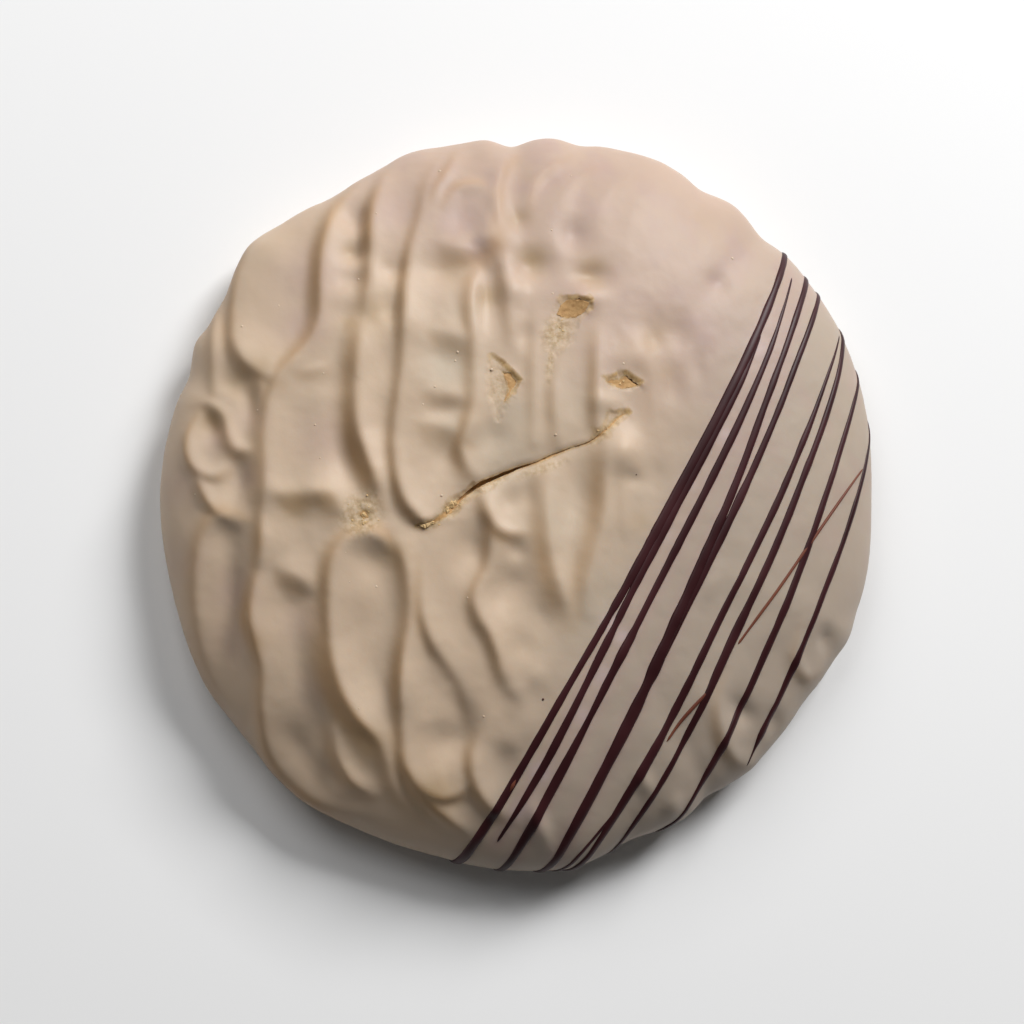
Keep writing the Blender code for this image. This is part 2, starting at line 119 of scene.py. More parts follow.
# Folds: reach on the hollow side, reach on the steep side, then points along the crest with its height there.
# The hollow side lies on the left hand going along the points.
FOLDS = (
    (6.5, 2, ((-35.5, 34, 0.6), (-36.8, 29, 0.9), (-37.2, 24, 1), (-36.8, 19.8, 1), (-35.2, 17.2, 0.8),
        (-33, 15.6, 0.6), (-31.2, 15, 0.4))),
    (5, 2.2, ((-31, 15.6, 0.7), (-32.3, 12, 0.7), (-32.7, 8, 0.7), (-32.5, 3, 0.8), (-32.8, -2, 0.7),
        (-32.8, -5.5, 1.1), (-33.2, -9.5, 0.6))),
    (5, 2.2, ((-33.2, -9.5, 0.6), (-33.9, -12.5, 1.1), (-34.1, -15.5, 1.4), (-33.3, -18.5, 1.2),
        (-32.5, -22, 0.9), (-32.5, -27, 0.9), (-31.7, -32, 1), (-29.2, -35.7, 1.1), (-25.8, -38.3, 1.1),
        (-22, -40.2, 0.4))),
    (4.2, 2.6, ((-21.5, 42, 0.3), (-24, 38, 0.9), (-25.5, 33, 1.2), (-25.9, 28, 1.2), (-26, 23.5, 1),
        (-26.9, 20.5, 0.9), (-29, 17.7, 0.8), (-31.2, 15.4, 0.6))),
    (4, 2.4, ((-31, 15.7, 0.4), (-29, 16, 0.4), (-27.2, 16.3, 0.35), (-25.6, 16.6, 0.2), (-24.6, 17.2, 0.1))),
    (4.6, 2.2, ((-17.5, 43.5, 0.3), (-19, 39, 1.1), (-19.4, 35, 1.3), (-19.5, 31.5, 0.8), (-19.6, 28, 0.8),
        (-20.2, 24, 0.4))),
    (3.2, 3.6, ((-20.4, 23, 0.3), (-20.8, 19, 0.9), (-21.2, 14, 0.9), (-21, 9, 1.2), (-20, 5.5, 1.4),
        (-18.8, 2.5, 1.2), (-18, 0, 0.4))),
    (6, 1.6, ((-11, 45, 0.2), (-12.2, 41.5, 0.4), (-13.1, 37, 0.5), (-14.3, 32.5, 0.8), (-15, 28, 1.1),
        (-15.3, 23, 1), (-15.4, 18, 0.7), (-15.9, 13, 0.7), (-16.4, 9, 0.7), (-16.4, 5, 0.9),
        (-15.9, 1.5, 1.2), (-14.8, -1.2, 1.2), (-13, -3, 1), (-11.5, -3.2, 0.5))),
    (3.2, 5, ((-14.3, 34, 0.1), (-11, 33.6, 0.2), (-8, 32.7, 0.4), (-6, 32.3, 0.7), (-4.7, 33.8, 0.8),
        (-4.3, 36.5, 0.5), (-4.2, 39, 0.1))),
    (7, 4.4, ((-15, 21.4, 0.15), (-12, 21.4, 0.25), (-9, 20.8, 0.45), (-7.2, 20, 0.45), (-6.3, 19.4, 0.1))),
    (2.6, 4.4, ((-15.6, 9.8, 0.2), (-12.5, 9.3, 0.3), (-9.8, 8.8, 0.4), (-8, 7.8, 0.4))),
    (3.2, 3.4, ((-15.4, 13.6, 0.1), (-12.5, 13.4, 0.25), (-9, 13, 0.35), (-7.5, 12.4, 0.2))),
    (3, 2.4, ((-5, 33, 0.3), (-6.3, 28, 0.6), (-6.7, 24, 0.8), (-6.4, 19, 0.7), (-6.3, 14, 0.6),
        (-6.7, 10, 0.8), (-7.9, 6.5, 1), (-7.6, 4.6, 0.9), (-6.8, 3.2, 0.5))),
    (3, 1.8, ((-3.2, 34, 0.1), (-2.5, 30, 0.5), (-2, 26, 0.5), (-1.7, 22, 0.4), (-1.6, 19.5, 0.1))),
    (3.2, 1.8, ((-5.2, 0.2, 0.4), (-4.6, -2, 1), (-3.6, -4, 1.1), (-2, -4.8, 0.8), (0, -4.6, 0.3))),
    (4.6, 1.5, ((-4.2, -3.8, 0.8), (-4.3, -6.5, 0.8), (-4.5, -9, 0.7), (-5.6, -11, 0.7), (-6.3, -13, 0.8),
        (-5.7, -15.3, 0.9), (-4.4, -17.3, 0.9), (-3.4, -19.8, 1), (-2.7, -22.2, 0.7), (-1.8, -24, 0.2))),
    (4.2, 1.4, ((-12.8, -8, 0.2), (-13, -12.5, 0.6), (-12.6, -15.5, 0.9), (-11.6, -18.3, 0.85),
        (-10, -20.6, 0.5), (-8.2, -23, 0.35), (-7, -26, 0.3), (-6.2, -29, 0.1))),
    (3.8, 2.1, ((-16.8, -4.6, 0.3), (-15.2, -8, 0.8), (-14.4, -12, 0.8), (-14.4, -16, 0.8), (-15, -20, 1.1),
        (-15.3, -24, 1.2), (-15.1, -28, 0.9), (-14.8, -31.5, 1), (-14.3, -34.3, 1.2), (-13, -36.8, 1.2),
        (-10.8, -38.9, 1.1), (-8, -41.2, 0.8), (-6, -43, 0.2))),
    (5, 2.6, ((-16.6, -7, 0.5), (-18.2, -5.2, 0.9), (-20.5, -4.9, 0.8), (-22.8, -6.2, 0.8), (-24.1, -9, 1),
        (-24.3, -13.5, 1), (-24.1, -18, 1), (-23.4, -22, 1.3), (-22, -25.5, 1.4), (-20, -28.3, 1.4),
        (-17.9, -30.6, 0.9), (-16.8, -33.5, 0.7), (-15.6, -37, 0.6), (-13, -40, 0.2))),
    (3, 2.4, ((-23.6, -29.2, 0.5), (-23.1, -32.5, 1), (-21.3, -35.6, 1), (-19, -37.2, 0.4))),
    (4.5, 4.2, ((-31.6, -8.2, 0.1), (-30.2, -9.3, 0.45), (-28.4, -10.2, 0.6), (-27, -11.4, 0.5),
        (-26.2, -13, 0.1))),
    (3.8, 4, ((-32.5, 0.5, 0.45), (-29.5, 0.2, 0.5), (-26.5, 0.5, 0.5), (-24.4, 0.2, 0.6), (-23.4, -1.2, 0.5),
        (-22.8, -3, 0.2))),
    (2, 3, ((-36, -3.2, 0.5), (-38.6, -2.7, 0.7), (-40.4, -5.2, 0.7), (-41.1, -9, 0.7), (-41.1, -14, 0.6),
        (-40.4, -19, 0.5), (-39, -23.4, 0.4), (-37, -27, 0.1))),
    (4.5, 5.2, ((-24.3, -15, 0.4), (-24, -18, 0.8), (-23.3, -22, 1.1), (-21.9, -25.5, 1.2), (-20, -28.2, 1.1),
        (-18.4, -30.2, 0.6))),
    (7.5, 2, ((-15.2, -30, 0.6), (-14.6, -33.6, 1.3), (-12.6, -36.4, 1.5), (-9.8, -37.8, 1.2),
        (-7.6, -37.2, 0.6))),
    (3, 1.5, ((-41.4, 3.2, 0.5), (-40.7, 1.2, 0.9), (-39.6, -0.8, 1), (-38.2, -2.2, 0.9), (-36.6, -2.6, 0.6),
        (-35.5, -1.5, 0.2))),
    (3, 1.5, ((-41.2, 11, 0.3), (-42.6, 8, 0.9), (-42.4, 5.2, 1), (-41.2, 3.4, 0.9), (-39.4, 2.6, 0.7),
        (-38, 3.2, 0.3))),
    (1.8, 2.4, ((-41, 12.8, 0.2), (-39.6, 12, 0.6), (-38.2, 10.4, 0.8), (-37.3, 8, 0.8), (-36.4, 6.2, 0.7),
        (-35, 6, 0.5))),
    (2.2, 1.8, ((-38.2, 29, 0.1), (-39.3, 25, 0.5), (-39.8, 21, 0.7), (-39.7, 17, 0.6), (-39.2, 13.5, 0.3))),
    (1.8, 2.4, ((-33.4, 14.5, 0.6), (-33.2, 10, 0.5), (-33.2, 5, 0.6), (-33.5, 0, 0.4))),
    (4.4, 1.8, ((-5.5, -30.5, 0.4), (-6.2, -33, 0.9), (-5.8, -36, 1.1), (-4, -38.8, 0.9),
        (-1.8, -40.4, 0.3))),
    # right of the middle
    (4, 1.8, ((9.6, 22, 0.2), (9.4, 17, 0.8), (9.3, 11, 0.8), (9.6, 8, 0.4))),
    (3.8, 3.8, ((10.4, 6.4, 0.4), (10.5, 2, 0.85), (10.3, -2, 0.85), (9.4, -6, 0.7), (8.2, -10.5, 0.7),
        (7.7, -14, 0.4))),
    (2.4, 1.2, ((12.6, 4, 0.1), (12.4, 0, 0.4), (12.6, -4, 0.2))),
    (3.8, 4, ((3, 2, 0.3), (3, -3, 0.7), (3.6, -8, 0.9), (4.8, -12, 0.8), (6, -15, 0.3))),
    (3.6, 1.6, ((4.8, 18, 0.1), (4, 15, 0.4), (3.8, 12, 0.6), (4.2, 7.5, 0.3))),
    (2.4, 1.2, ((1.6, 24, 0.1), (1.2, 18, 0.4), (1.2, 12, 0.4), (1.2, 7, 0.2))),
    (2.4, 2.4, ((12, 22.4, 0.05), (14.6, 20.6, 0.12), (16.2, 17.4, 0.18), (16.8, 13, 0.18), (16.6, 9, 0.1))),
    # thin curved ripples at the upper rim
    (2.6, 1.8, ((-1.6, 33, 0.1), (-3, 36, 0.45), (-3.2, 40, 0.6), (-2.4, 44, 0.6), (-0.6, 47, 0.3))),
    (2.6, 1.8, ((0.6, 36, 0.1), (0.8, 39, 0.35), (1.8, 42.4, 0.5), (4, 45, 0.5), (6.4, 47, 0.2))),
    (2.4, 1.8, ((5.2, 37, 0.05), (5.8, 40, 0.22), (7.4, 43, 0.3), (10, 45.4, 0.25))),
    (2.4, 1.8, ((9.8, 36, 0.05), (10.8, 39.6, 0.12), (13, 42.6, 0.15), (15.8, 44.6, 0.1))),
    (2.2, 1.8, ((13.6, 33, 0.05), (14.6, 37, 0.07), (17, 41, 0.1), (20, 43, 0.05))),
    (2.4, 1.4, ((-8, 46.8, 0.3), (-9.4, 44, 0.7), (-11, 41, 0.7), (-12, 38, 0.3))),
    (2.4, 1.6, ((-4, 41.4, 0.2), (-6, 41.8, 0.5), (-8.2, 41.2, 0.6), (-10, 38.6, 0.3))),
    # lower right, between the strands
    (3.4, 2, ((27.4, -22, 0.1), (25.8, -26, 0.4), (26.6, -30.5, 0.7), (29, -33.5, 0.5), (31.5, -34, 0.2))),
    (2.6, 1.6, ((37.6, -16, 0.1), (36.6, -20, 0.4), (38.4, -22.6, 0.5), (40.6, -21.6, 0.2))),
)

# Soft hollows between the folds: x, y, half width, half length, depth, and the lean of the long side where
# it isn't upright, in degrees. A swelling has a negative depth.
HOLLOWS = (
    (-27.5, 28, 3.6, 7, 0.5), (-28.5, 24, 5, 6, 0.35), (-22, 37.2, 1.6, 2, 0.8), (-21.8, 32.2, 1.7, 1.7, 1),
    (-22, 28.4, 1.8, 1.4, 0.5), (-22.2, 23.6, 2, 1.4, 0.3), (-23, 11.5, 2, 5, 0.6),
    (-22.2, 4.6, 2.2, 3.8, 1.1, -15), (-31.5, 0.6, 1.6, 1.6, -0.4), (-26, 0.6, 1.6, 1.6, -0.4),
    (-14.6, -24, 1.4, 3, -0.4), (-26, 14.5, 4, 1.8, 0.25), (-27.5, 8, 3.5, 4, 0.3),
    (-27, -2.8, 3.6, 1.8, 0.15), (-28, -6, 3, 3, 0.2), (-28.4, -12.6, 3, 2.4, 0.3), (-29, -15, 2.6, 3, 0.3),
    (-27.6, -22, 2, 5, 0.4), (-27.5, -30, 2.8, 5, 0.6), (-24.8, -35.8, 1.8, 2.6, 0.7, -50),
    (-28.4, -32.2, 1.6, 3.2, 0.6, -32), (-24.6, -31, 1.6, 4, 0.5, -15), (-18.3, -8.5, 2.6, 2.6, 0.6),
    (-17.4, -13, 2, 4.5, 0.5), (-19.5, -17, 3, 3, 0.3), (-18.5, -22, 2.2, 4, 0.4), (-37, -13, 1.9, 8, 1.2),
    (-37.3, -5.5, 1.8, 2.4, 0.25), (-39.4, 9.5, 2.1, 2.1, 0.8), (-36.2, 2.5, 1.5, 3.2, 0.7),
    (-34.8, 12, 1.5, 3, 0.7), (-36.5, 15, 1.6, 2, 0.3), (-37.3, 22, 1.2, 5, 0.3), (-40.6, 21, 1.2, 5, 0.3),
    (-14.8, 38, 2, 4, 0.2, -12), (-16.8, 29.6, 1.6, 1.4, 0.5), (-17, 24, 1.2, 2.2, 0.5),
    (-17.3, 17, 1.8, 3, 0.3), (-17.6, 9.6, 1.4, 3, 0.35), (-7.4, 37, 2.2, 2.4, 0.4),
    (-9.4, 29.7, 4.6, 2.3, 0.7), (-6, 30.8, 2, 1.8, 0.4), (-14.8, 22.6, 2.2, 3, -0.35),
    (-8, 24.5, 1.6, 3.6, 0.2), (-9.4, 17.8, 3.4, 2.4, 0.5), (-9.5, 11, 3, 1.1, 0.4),
    (-9.2, 5.6, 2.2, 2.4, 0.6), (-10.5, 2.5, 2.6, 3, 0.3), (-4.4, 26, 1.6, 3.8, 0.8),
    (-3.9, 7.4, 2, 2.2, 0.5), (-4.6, 4, 2, 2, 0.2), (-1.4, -0.6, 1.4, 1.6, 0.4), (0.6, 0.2, 1, 2.2, 0.5),
    (-6.1, -6.5, 2.2, 3.2, 0.9), (-8, -8, 2, 3, 0.3), (-7.5, -15, 2, 4, 0.25), (-1.8, -11.4, 2.4, 2.8, 0.85),
    (-0.8, -7, 1, 1, 0.4), (-7.6, -27.5, 1.8, 3, 0.6, -10), (-10.6, -24, 2.4, 4, 0.35),
    (-8.6, -31, 3.2, 2.4, 0.8), (-2.6, -30, 1.8, 4, 0.15), (-3, -34, 1.8, 2.4, 0.2),
    (2.8, -42, 1.1, 3.2, -0.6, -22), (0.4, -28.4, 1.8, 2.4, -0.3), (1.6, 30.5, 2.2, 2, 0.9),
    (7.2, 35, 1.8, 2.3, 0.65), (9.2, 29.4, 2.2, 1.5, 0.75), (0, 36.9, 1.3, 1.6, 0.5),
    (-5.4, 32.4, 1.6, 1.6, 0.6), (-2.6, 41.8, 1.2, 1.6, 0.2), (4, 43, 1.2, 1.6, 0.2),
    (17.4, 22.6, 2.4, 2.6, 0.35), (20.6, 21.4, 1.6, 2.4, 0.35), (17.3, 21, 1, 1.2, 0.2),
    (26.4, 29.4, 1.4, 1.4, 0.35), (19.6, 15, 1.4, 3, 0.3), (23, 17.5, 1, 2.6, 0.25),
    (7.9, 26.2, 2.2, 1.6, -0.75), (14.2, 2.4, 1, 0.8, 0.3), (12.6, 5.8, 2.4, 2.8, -1.3),
    (10.4, 12.2, 1.8, 1.2, -0.5), (7, 0.5, 2.4, 4.8, 0.7), (2, -15.4, 2.2, 3, 0.5),
    (-0.2, -19.2, 1.6, 2, 0.35), (-2.4, -25.4, 2, 2, 0.15), (1.6, -22.6, 1.6, 1.8, -0.35),
    (-0.8, -24.6, 1.2, 1.3, -0.25), (3.4, -8.4, 1.4, 2, 0.2), (-1.4, -30.8, 1.6, 1.6, -0.35),
    (-0.9, 27, 1.5, 1.8, -0.45), (0.2, 21, 1, 1.4, 0.3), (14, 18.2, 2.6, 2.2, -0.5), (16.8, 3, 1.4, 2.4, 0.3),
    (29.4, -27.4, 2.4, 1.4, 0.55, 40), (41.2, -17.6, 1.2, 1.6, 0.5), (34.2, -28.6, 1.2, 1.6, 0.4),
    (24.6, -10.8, 0.8, 1.8, -0.3, 25), (16.4, -36.4, 0.9, 1.7, -0.45, -25), (20.4, -39.4, 1.2, 1.6, -0.45),
    (23.6, -25.8, 1.8, 2.6, -0.2), (34.4, -19.5, 2, 2.4, 0.2), (27.5, -15, 2, 3, 0.12),
    (38, -8, 2.4, 4, 0.15), (43, 3, 1.6, 3, -0.15), (12, -31, 1.6, 3, -0.15),
)

# Crack over the middle: points along it, with the half width at each
CRACK = (
    (13.2, 11, 0.05), (12.2, 10.3, 0.14), (11, 9.1, 0.1), (9.6, 7.9, 0.14), (8.2, 7, 0.07), (6, 6.3, 0.06),
    (3.6, 5.3, 0.13), (1.6, 4.4, 0.1), (-0.6, 3.7, 0.16), (-3.2, 2.6, 0.23), (-5.6, 1.5, 0.27),
    (-7.8, -0.2, 0.18), (-9.2, -1.7, 0.26), (-11.4, -3.3, 0.2), (-13.6, -3.9, 0.04),
)

# Broken spots: corner points of the opening in the coating
SPOTS = (
    ((5.1, 25), (4.6, 23.9), (5.6, 23.4), (6.8, 23.6), (8, 24.4), (8.5, 25.4), (7.3, 25.9), (6, 25.7)),
    ((-2.6, 16), (-2.2, 15), (-1.9, 13.9), (-2.4, 12.2), (-1.7, 13), (-0.9, 14.8), (-1.7, 15.8)),
    ((10.7, 15), (11.7, 14.5), (12.8, 14.3), (15, 14.7), (14.3, 15.3), (13.1, 15.9), (12.4, 15.3),
        (11.6, 15.4)),
    ((-20.6, -2.4), (-20.2, -2.9), (-19.7, -2.7), (-19.7, -2.2), (-20.2, -2)),
)

# Places where a flake of the coating broke off: corner points and depth
CHIPS = (
    (((-4.1, 18.2), (-3, 17.6), (-0.5, 15), (-1.8, 13), (-3.4, 9.8), (-4.4, 12.6), (-4.6, 15.6)), 0.34),
    (((5.2, 26), (8.7, 26.1), (8.8, 24.8), (7.4, 23.2), (6.2, 20.2), (4.2, 18.4), (3, 19.2), (3.2, 21.8)),
        0.2),
    (((10.4, 15.4), (13.2, 16.3), (15.4, 15), (13.4, 14.1), (11.2, 14.3)), 0.22),
    (((8.6, 6.9), (9.2, 8.6), (10.4, 9.2), (10.9, 10.6), (12.8, 11.3), (13.6, 11.2), (12.4, 9.9), (11.2, 9.2),
        (10.6, 7.8)), 0.2),
    (((-6.4, 1.6), (-7.2, 0.6), (-9.4, -0.6), (-10, -1.6), (-9, -2.6), (-7.6, -1), (-5.8, 0.6)), 0.18),
)

# Rough places beside the breaks, where the coating crumbled: x, y, half width, half length, lean, strength
ROUGH = (
    (4.5, 21.4, 1.9, 2.8, 25, 0.9), (3.4, 17, 0.5, 2.4, 5, 0.8), (6.8, 24.6, 1.6, 1.3, 0, 0.5),
    (-3.1, 14.2, 1.5, 2.9, 8, 0.6), (12.8, 15, 2.2, 0.9, 0, 0.6), (-20.5, -2.5, 2.4, 2.9, 30, 0.95),
    (2.4, 3.6, 3.6, 0.7, -20, 0.6), (10.6, 8.7, 2.6, 0.7, -42, 0.9), (-4.4, 1.5, 3.2, 0.8, -30, 0.8),
    (-9.2, -1.6, 2.4, 0.9, -38, 1), (-12.2, -3.8, 1.6, 0.6, -10, 0.8),
)

# Soft patches of another tint in the coating, golden and mauve painted as shade and sheen painted as a
# highlight: x, y, radius, strength
PATCHES = {
    # mauve: painted shade in the hollows between the folds
    "mauve": (
        (-38.6, 7.4, 2, 0.7), (-34.6, 2.6, 1.8, 0.6), (-36.2, -12, 3, 0.6), (-36, -18, 3, 0.5),
        (-27.6, -16, 2.6, 0.5), (-25.4, -24, 2.4, 0.5), (-43.4, 2, 3, 0.5), (-43, -8, 3, 0.4),
        (-27, 29, 4.6, 0.8), (-28, 22.5, 3.2, 0.9), (-16.5, 38, 3.4, 0.8), (-25, 7.5, 3.6, 0.6),
        (-7.3, 37.2, 2.8, 1), (-4.9, 32.6, 1.8, 1.2), (7.5, 35.3, 2.4, 0.7), (11.2, 44.1, 2, 0.6),
        (6.6, 44.1, 1.8, 0.6), (-3, 43, 2, 0.5), (26, 29.3, 1.3, 1.2), (24.6, 23.4, 2.6, 0.7),
        (22, 20, 4.5, 0.5), (28, 27, 8, 0.3), (13, 23, 2.4, 0.4), (-34.5, 10, 2, 0.5),
    ),
    # golden: painted warm shade in the deeper hollows and along fold lines
    "golden": (
        (25.5, 36.8, 3, 0.3), (30.2, 28.8, 2.6, 0.3), (35, 27, 2, 0.2), (1.5, 31.4, 2, 0.9),
        (9, 29.8, 2.2, 0.9), (-4.5, 26.2, 1.6, 0.9), (17.7, 20.5, 2.4, 0.8), (-0.3, 37.2, 1.3, 0.7),
        (-22.4, 32.4, 1.2, 0.8), (-19.2, 23.6, 2.4, 0.6), (-22.2, 22.4, 1.2, 0.7), (-9.5, 29.8, 2.6, 0.5),
        (-39.6, 9.8, 1.8, 0.8), (-36.4, 15.2, 2, 0.6), (-28.6, -1.2, 2, 0.8), (-25, -0.8, 1.8, 0.6),
        (-16.4, -7.4, 2, 0.6), (-10.9, -37.8, 2.8, 0.9), (-19.2, -31.3, 2.2, 0.7), (-33.5, -18.4, 1.4, 0.7),
        (19, 16.5, 2.4, 0.4), (-33.4, 16.8, 1.6, 0.6), (15, -3, 1.6, 0.4),
    ),
    # sheen: painted pale lilac highlight beside the strands
    "sheen": (
        (11, -15.8, 1.2, 1), (12.8, -17.6, 1.1, 1), (10.2, -22.6, 1.2, 0.9), (2.4, -34.8, 1.4, 1),
        (7.6, -27.6, 1.1, 0.7), (21.4, 2.2, 1, 0.7), (26.6, 8.6, 1.2, 0.8), (31.4, 20.4, 1.4, 0.6),
        (18, -4.6, 1, 0.7), (0.2, -39.6, 1.3, 0.7), (14.6, -9.6, 0.9, 0.7),
    ),
    "grey": (
        (-9.5, 16.8, 3.6, 0.9), (-9, 9, 3.4, 0.5), (-2.5, 6, 5, 0.6), (6, 12, 5, 0.4), (-8, 24, 2.4, 0.4),
        (4, -3, 5, 0.5), (-1, 10.5, 3, 0.6), (9, -14, 6, 0.5),
    ),
}

# Drizzled strands: how far each runs on over the rim at its upper and lower end, and points along it with
# the strand's width there, from the upper rim to the lower one
STRANDS = (
    (5, 6, ((37.6, 35.6, 1), (33.1, 25.4, 1.2), (28.6, 16.7, 1.4), (24.2, 8.4, 1.5), (19.6, 0.5, 1.5),
        (15.5, -7.3, 1.4), (11.3, -14.6, 1.1), (6.6, -22.5, 1.1), (2.3, -30.1, 1.1), (-1.7, -37.7, 1.2),
        (-6.6, -45.8, 1.5))),
    (0, 0, ((32, 22.4, 0.3), (29.5, 16.7, 1), (25, 8.5, 1.3), (20.5, 0.5, 1.3), (16.4, -7.3, 1.2),
        (12.4, -15, 1.1), (8.6, -22.5, 1.2), (4.7, -31.1, 1.2), (0.8, -37.7, 1), (-2.6, -43.8, 0.35))),
    (0, 6, ((37.6, 31.3, 0.25), (36, 27.4, 0.45), (33.8, 21.2, 0.8), (29.7, 12.7, 1.1), (25.6, 4.6, 1.2),
        (21.3, -3.3, 1.2), (17.3, -11.1, 1.1), (14.4, -16.6, 1.05), (12.9, -19.5, 1.65), (11.6, -22, 1.15),
        (9.5, -26.3, 1.1), (5.6, -33.9, 1.3), (1.8, -41.5, 1.4), (-0.3, -45.7, 1.2))),
    (5, 6, ((40.5, 32.1, 1), (35.6, 21.3, 1), (32.2, 12.8, 1.1), (28.9, 4.7, 1.2), (26.2, -1.9, 1.3),
        (22.5, -9.1, 1.5), (19.2, -16.9, 1.7), (15.8, -24.5, 1.8), (12, -32.1, 1.8), (8.3, -39.7, 1.8),
        (5.3, -46, 1.2))),
    (5, 0, ((42.1, 29.6, 0.8), (37.1, 19.4, 1), (33.6, 10.9, 1), (29.7, 2.7, 1.2), (27.1, -2.2, 1.3),
        (23.5, -9.3, 1.1), (21.6, -13.2, 0.9), (19.6, -17.4, 0.8), (17.3, -22, 0.5))),
    (0, 6, ((44.6, 23.8, 0.25), (41.8, 17.8, 0.6), (38.1, 9.2, 1), (34.2, 1, 1.1), (30, -7, 1.1),
        (26, -14.8, 1.1), (22, -22.5, 1.2), (18.5, -30.2, 1.3), (14.1, -37.8, 1.5), (9.7, -45.7, 1.2))),
    (5, 6, ((45.2, 23.1, 0.9), (43.6, 17.6, 1), (41, 11.4, 1.1), (37.3, 3.1, 1.1), (33.9, -5, 1.2),
        (29.9, -12.8, 1.2), (27.4, -18.2, 1.5), (26.2, -20.6, 1.3), (22.6, -28.3, 1.1), (19, -36, 1),
        (14.2, -43.8, 0.8))),
    (5, 6, ((47.2, 17.2, 0.7), (44.9, 11.9, 0.9), (41.5, 3.4, 1), (38.6, -4.8, 1.1), (35.2, -12.7, 1.2),
        (31.8, -20.5, 1.2), (28.2, -28.3, 1.2), (24.6, -36.1, 1.1), (22.5, -40, 0.9))),
    (5, 0, ((48.6, 9, 0.7), (47.1, 3.9, 0.9), (43.6, -4.5, 0.9), (40, -12.6, 1), (36.9, -20.5, 1.1),
        (33.6, -27.5, 1.2), (32.4, -30, 1.3), (31.4, -32.4, 0.5), (30.6, -34.4, 0.3))),
    (0, 5, ((13.4, -39, 0.4), (11.6, -41.4, 0.6), (9.6, -43.9, 0.6), (7.4, -46.8, 0.6))),
)
STRAND_PARTS = 12            # parts to each stretch of a strand's rounded line

# Fine threads that cross below the strands and a drop on the first strand, and how far each is lifted
THREADS = (
    (0, 0, ((47, 5.3, 0.25), (43.6, 1.5, 0.45), (40.3, -2.7, 0.45), (38.6, -4.8, 0.5), (34.2, -10.8, 0.45),
        (31.1, -14.7, 0.45), (28.2, -18.6, 0.35))),
    (0, 0, ((25.4, -23.4, 0.25), (22.9, -26, 0.5), (20.7, -28.2, 0.5), (18.9, -31, 0.35))),
    (0, 0, ((-0.6, -35.6, 0.25), (-1, -36.4, 0.55), (-1.4, -37.2, 0.3))),
)
THREAD_LIFTS = (0.03, 0.03, 0.22)

# Dark specks: x, y, radius
SPECKS = (
    (2.6, -25.6, 0.16), (6.5, 7.4, 0.09), (14.5, 3, 0.1),
)

# Loose crumbs: middle, spread across and along, and how many
CRUMBS = (
    (10.4, 8.4, 0.7, 0.4, 4), (-9.4, -1.5, 0.5, 0.4, 6), (-12.4, -3.7, 0.5, 0.2, 5),
    (-20.4, -2.6, 1.1, 1.2, 9), (5, 22.4, 0.6, 0.9, 4), (12.8, 14.9, 0.8, 0.3, 2),
)

# Larger golden flakes: x, y, radius
FLAKES = (
    (-9.2, -1.1, 0.42), (-8.7, -0.9, 0.3), (-9.8, -1.8, 0.36), (-12.7, -3.8, 0.4), (-12.2, -3.7, 0.34),
    (-11.6, -3.4, 0.3), (-20.1, -3.6, 0.24), (-20.2, -2.5, 0.3), (-19.5, -1.6, 0.2), (-21.6, -3.2, 0.18),
)


# ---------------------------------------------------------------- shape of the folds
def run_lengths(points):
    """How far along a line of points each of them is."""
    steps = np.diff(points[:, :2], axis=0)
    return np.concatenate([[0.0], np.cumsum(np.hypot(steps[:, 0], steps[:, 1]))])


def rounded(a, b, c, d, t):
    """The rounded line from b to c at the share t of the way; a and d are the points beside them."""
    bend = 2 * a - 5 * b + 4 * c - d
    twist = 3 * b - a - 3 * c + d
    return 0.5 * (2 * b + (c - a) * t + bend * t ** 2 + twist * t ** 3)


def smooth_curve(points, parts):
    """Points along a rounded line through the given points, so many parts to each stretch."""
    path = np.array(points, dtype=float)
    path = np.vstack([2 * path[0] - path[1], path, 2 * path[-1] - path[-2]])
    share = np.arange(parts)[:, None] / parts
    stretches = [rounded(*corners, share) for corners in zip(path, path[1:], path[2:], path[3:])]
    return np.vstack([*stretches, path[-2][None]])


def nearest_on(line, x, y):
    """Distance to a line of points, which side of it, and the line's own last value at the nearest place."""
    nearest = np.full(x.shape, 1e9)
    side = np.ones(x.shape)
    value = np.zeros(x.shape)
    for start, end in zip(line, line[1:]):
        step = end[:2] - start[:2]
        dx = x - start[0]
        dy = y - start[1]
        part = np.clip((dx * step[0] + dy * step[1]) / (step @ step), 0.0, 1.0)
        away = np.hypot(dx - part * step[0], dy - part * step[1])
        closer = away < nearest - 1e-6
        nearest = np.where(closer, away, nearest)
        side = np.where(closer, step[0] * dy - step[1] * dx, side)
        value = np.where(closer, start[-1] + part * (end[-1] - start[-1]), value)
    return nearest, side, value


def leaning(x, y, cx, cy, lean=0.0):
    """The points x, y measured from cx, cy across and along an upright that leans by so many degrees."""
    turn = math.radians(lean)
    dx = x - cx
    dy = y - cy
    return dx * math.cos(turn) - dy * math.sin(turn), dx * math.sin(turn) + dy * math.cos(turn)


def fold_height(x, y, hollow_reach, steep_reach, crest):
    """Height of one fold and how much painted crease shade runs beside it. The fold is a cusp that falls
    gently on its hollow side and steeply on the other, where the painted shade lies."""
    nearest, side, height = nearest_on(smooth_curve(crest, CURVE_PARTS), x, y)
    gentle = np.clip(1.0 - nearest / hollow_reach, 0.0, 1.0) ** HOLLOW_FALL
    steep = np.clip(1.0 - nearest / steep_reach, 0.0, 1.0) ** STEEP_FALL
    width = CREASE_WIDTH + CREASE_GROWTH * steep_reach
    crease = np.exp(-((nearest - CREASE_PLACE * steep_reach) / width) ** 2) * (side < 0.0)
    return height * np.where(side >= 0.0, gentle, steep), height * crease


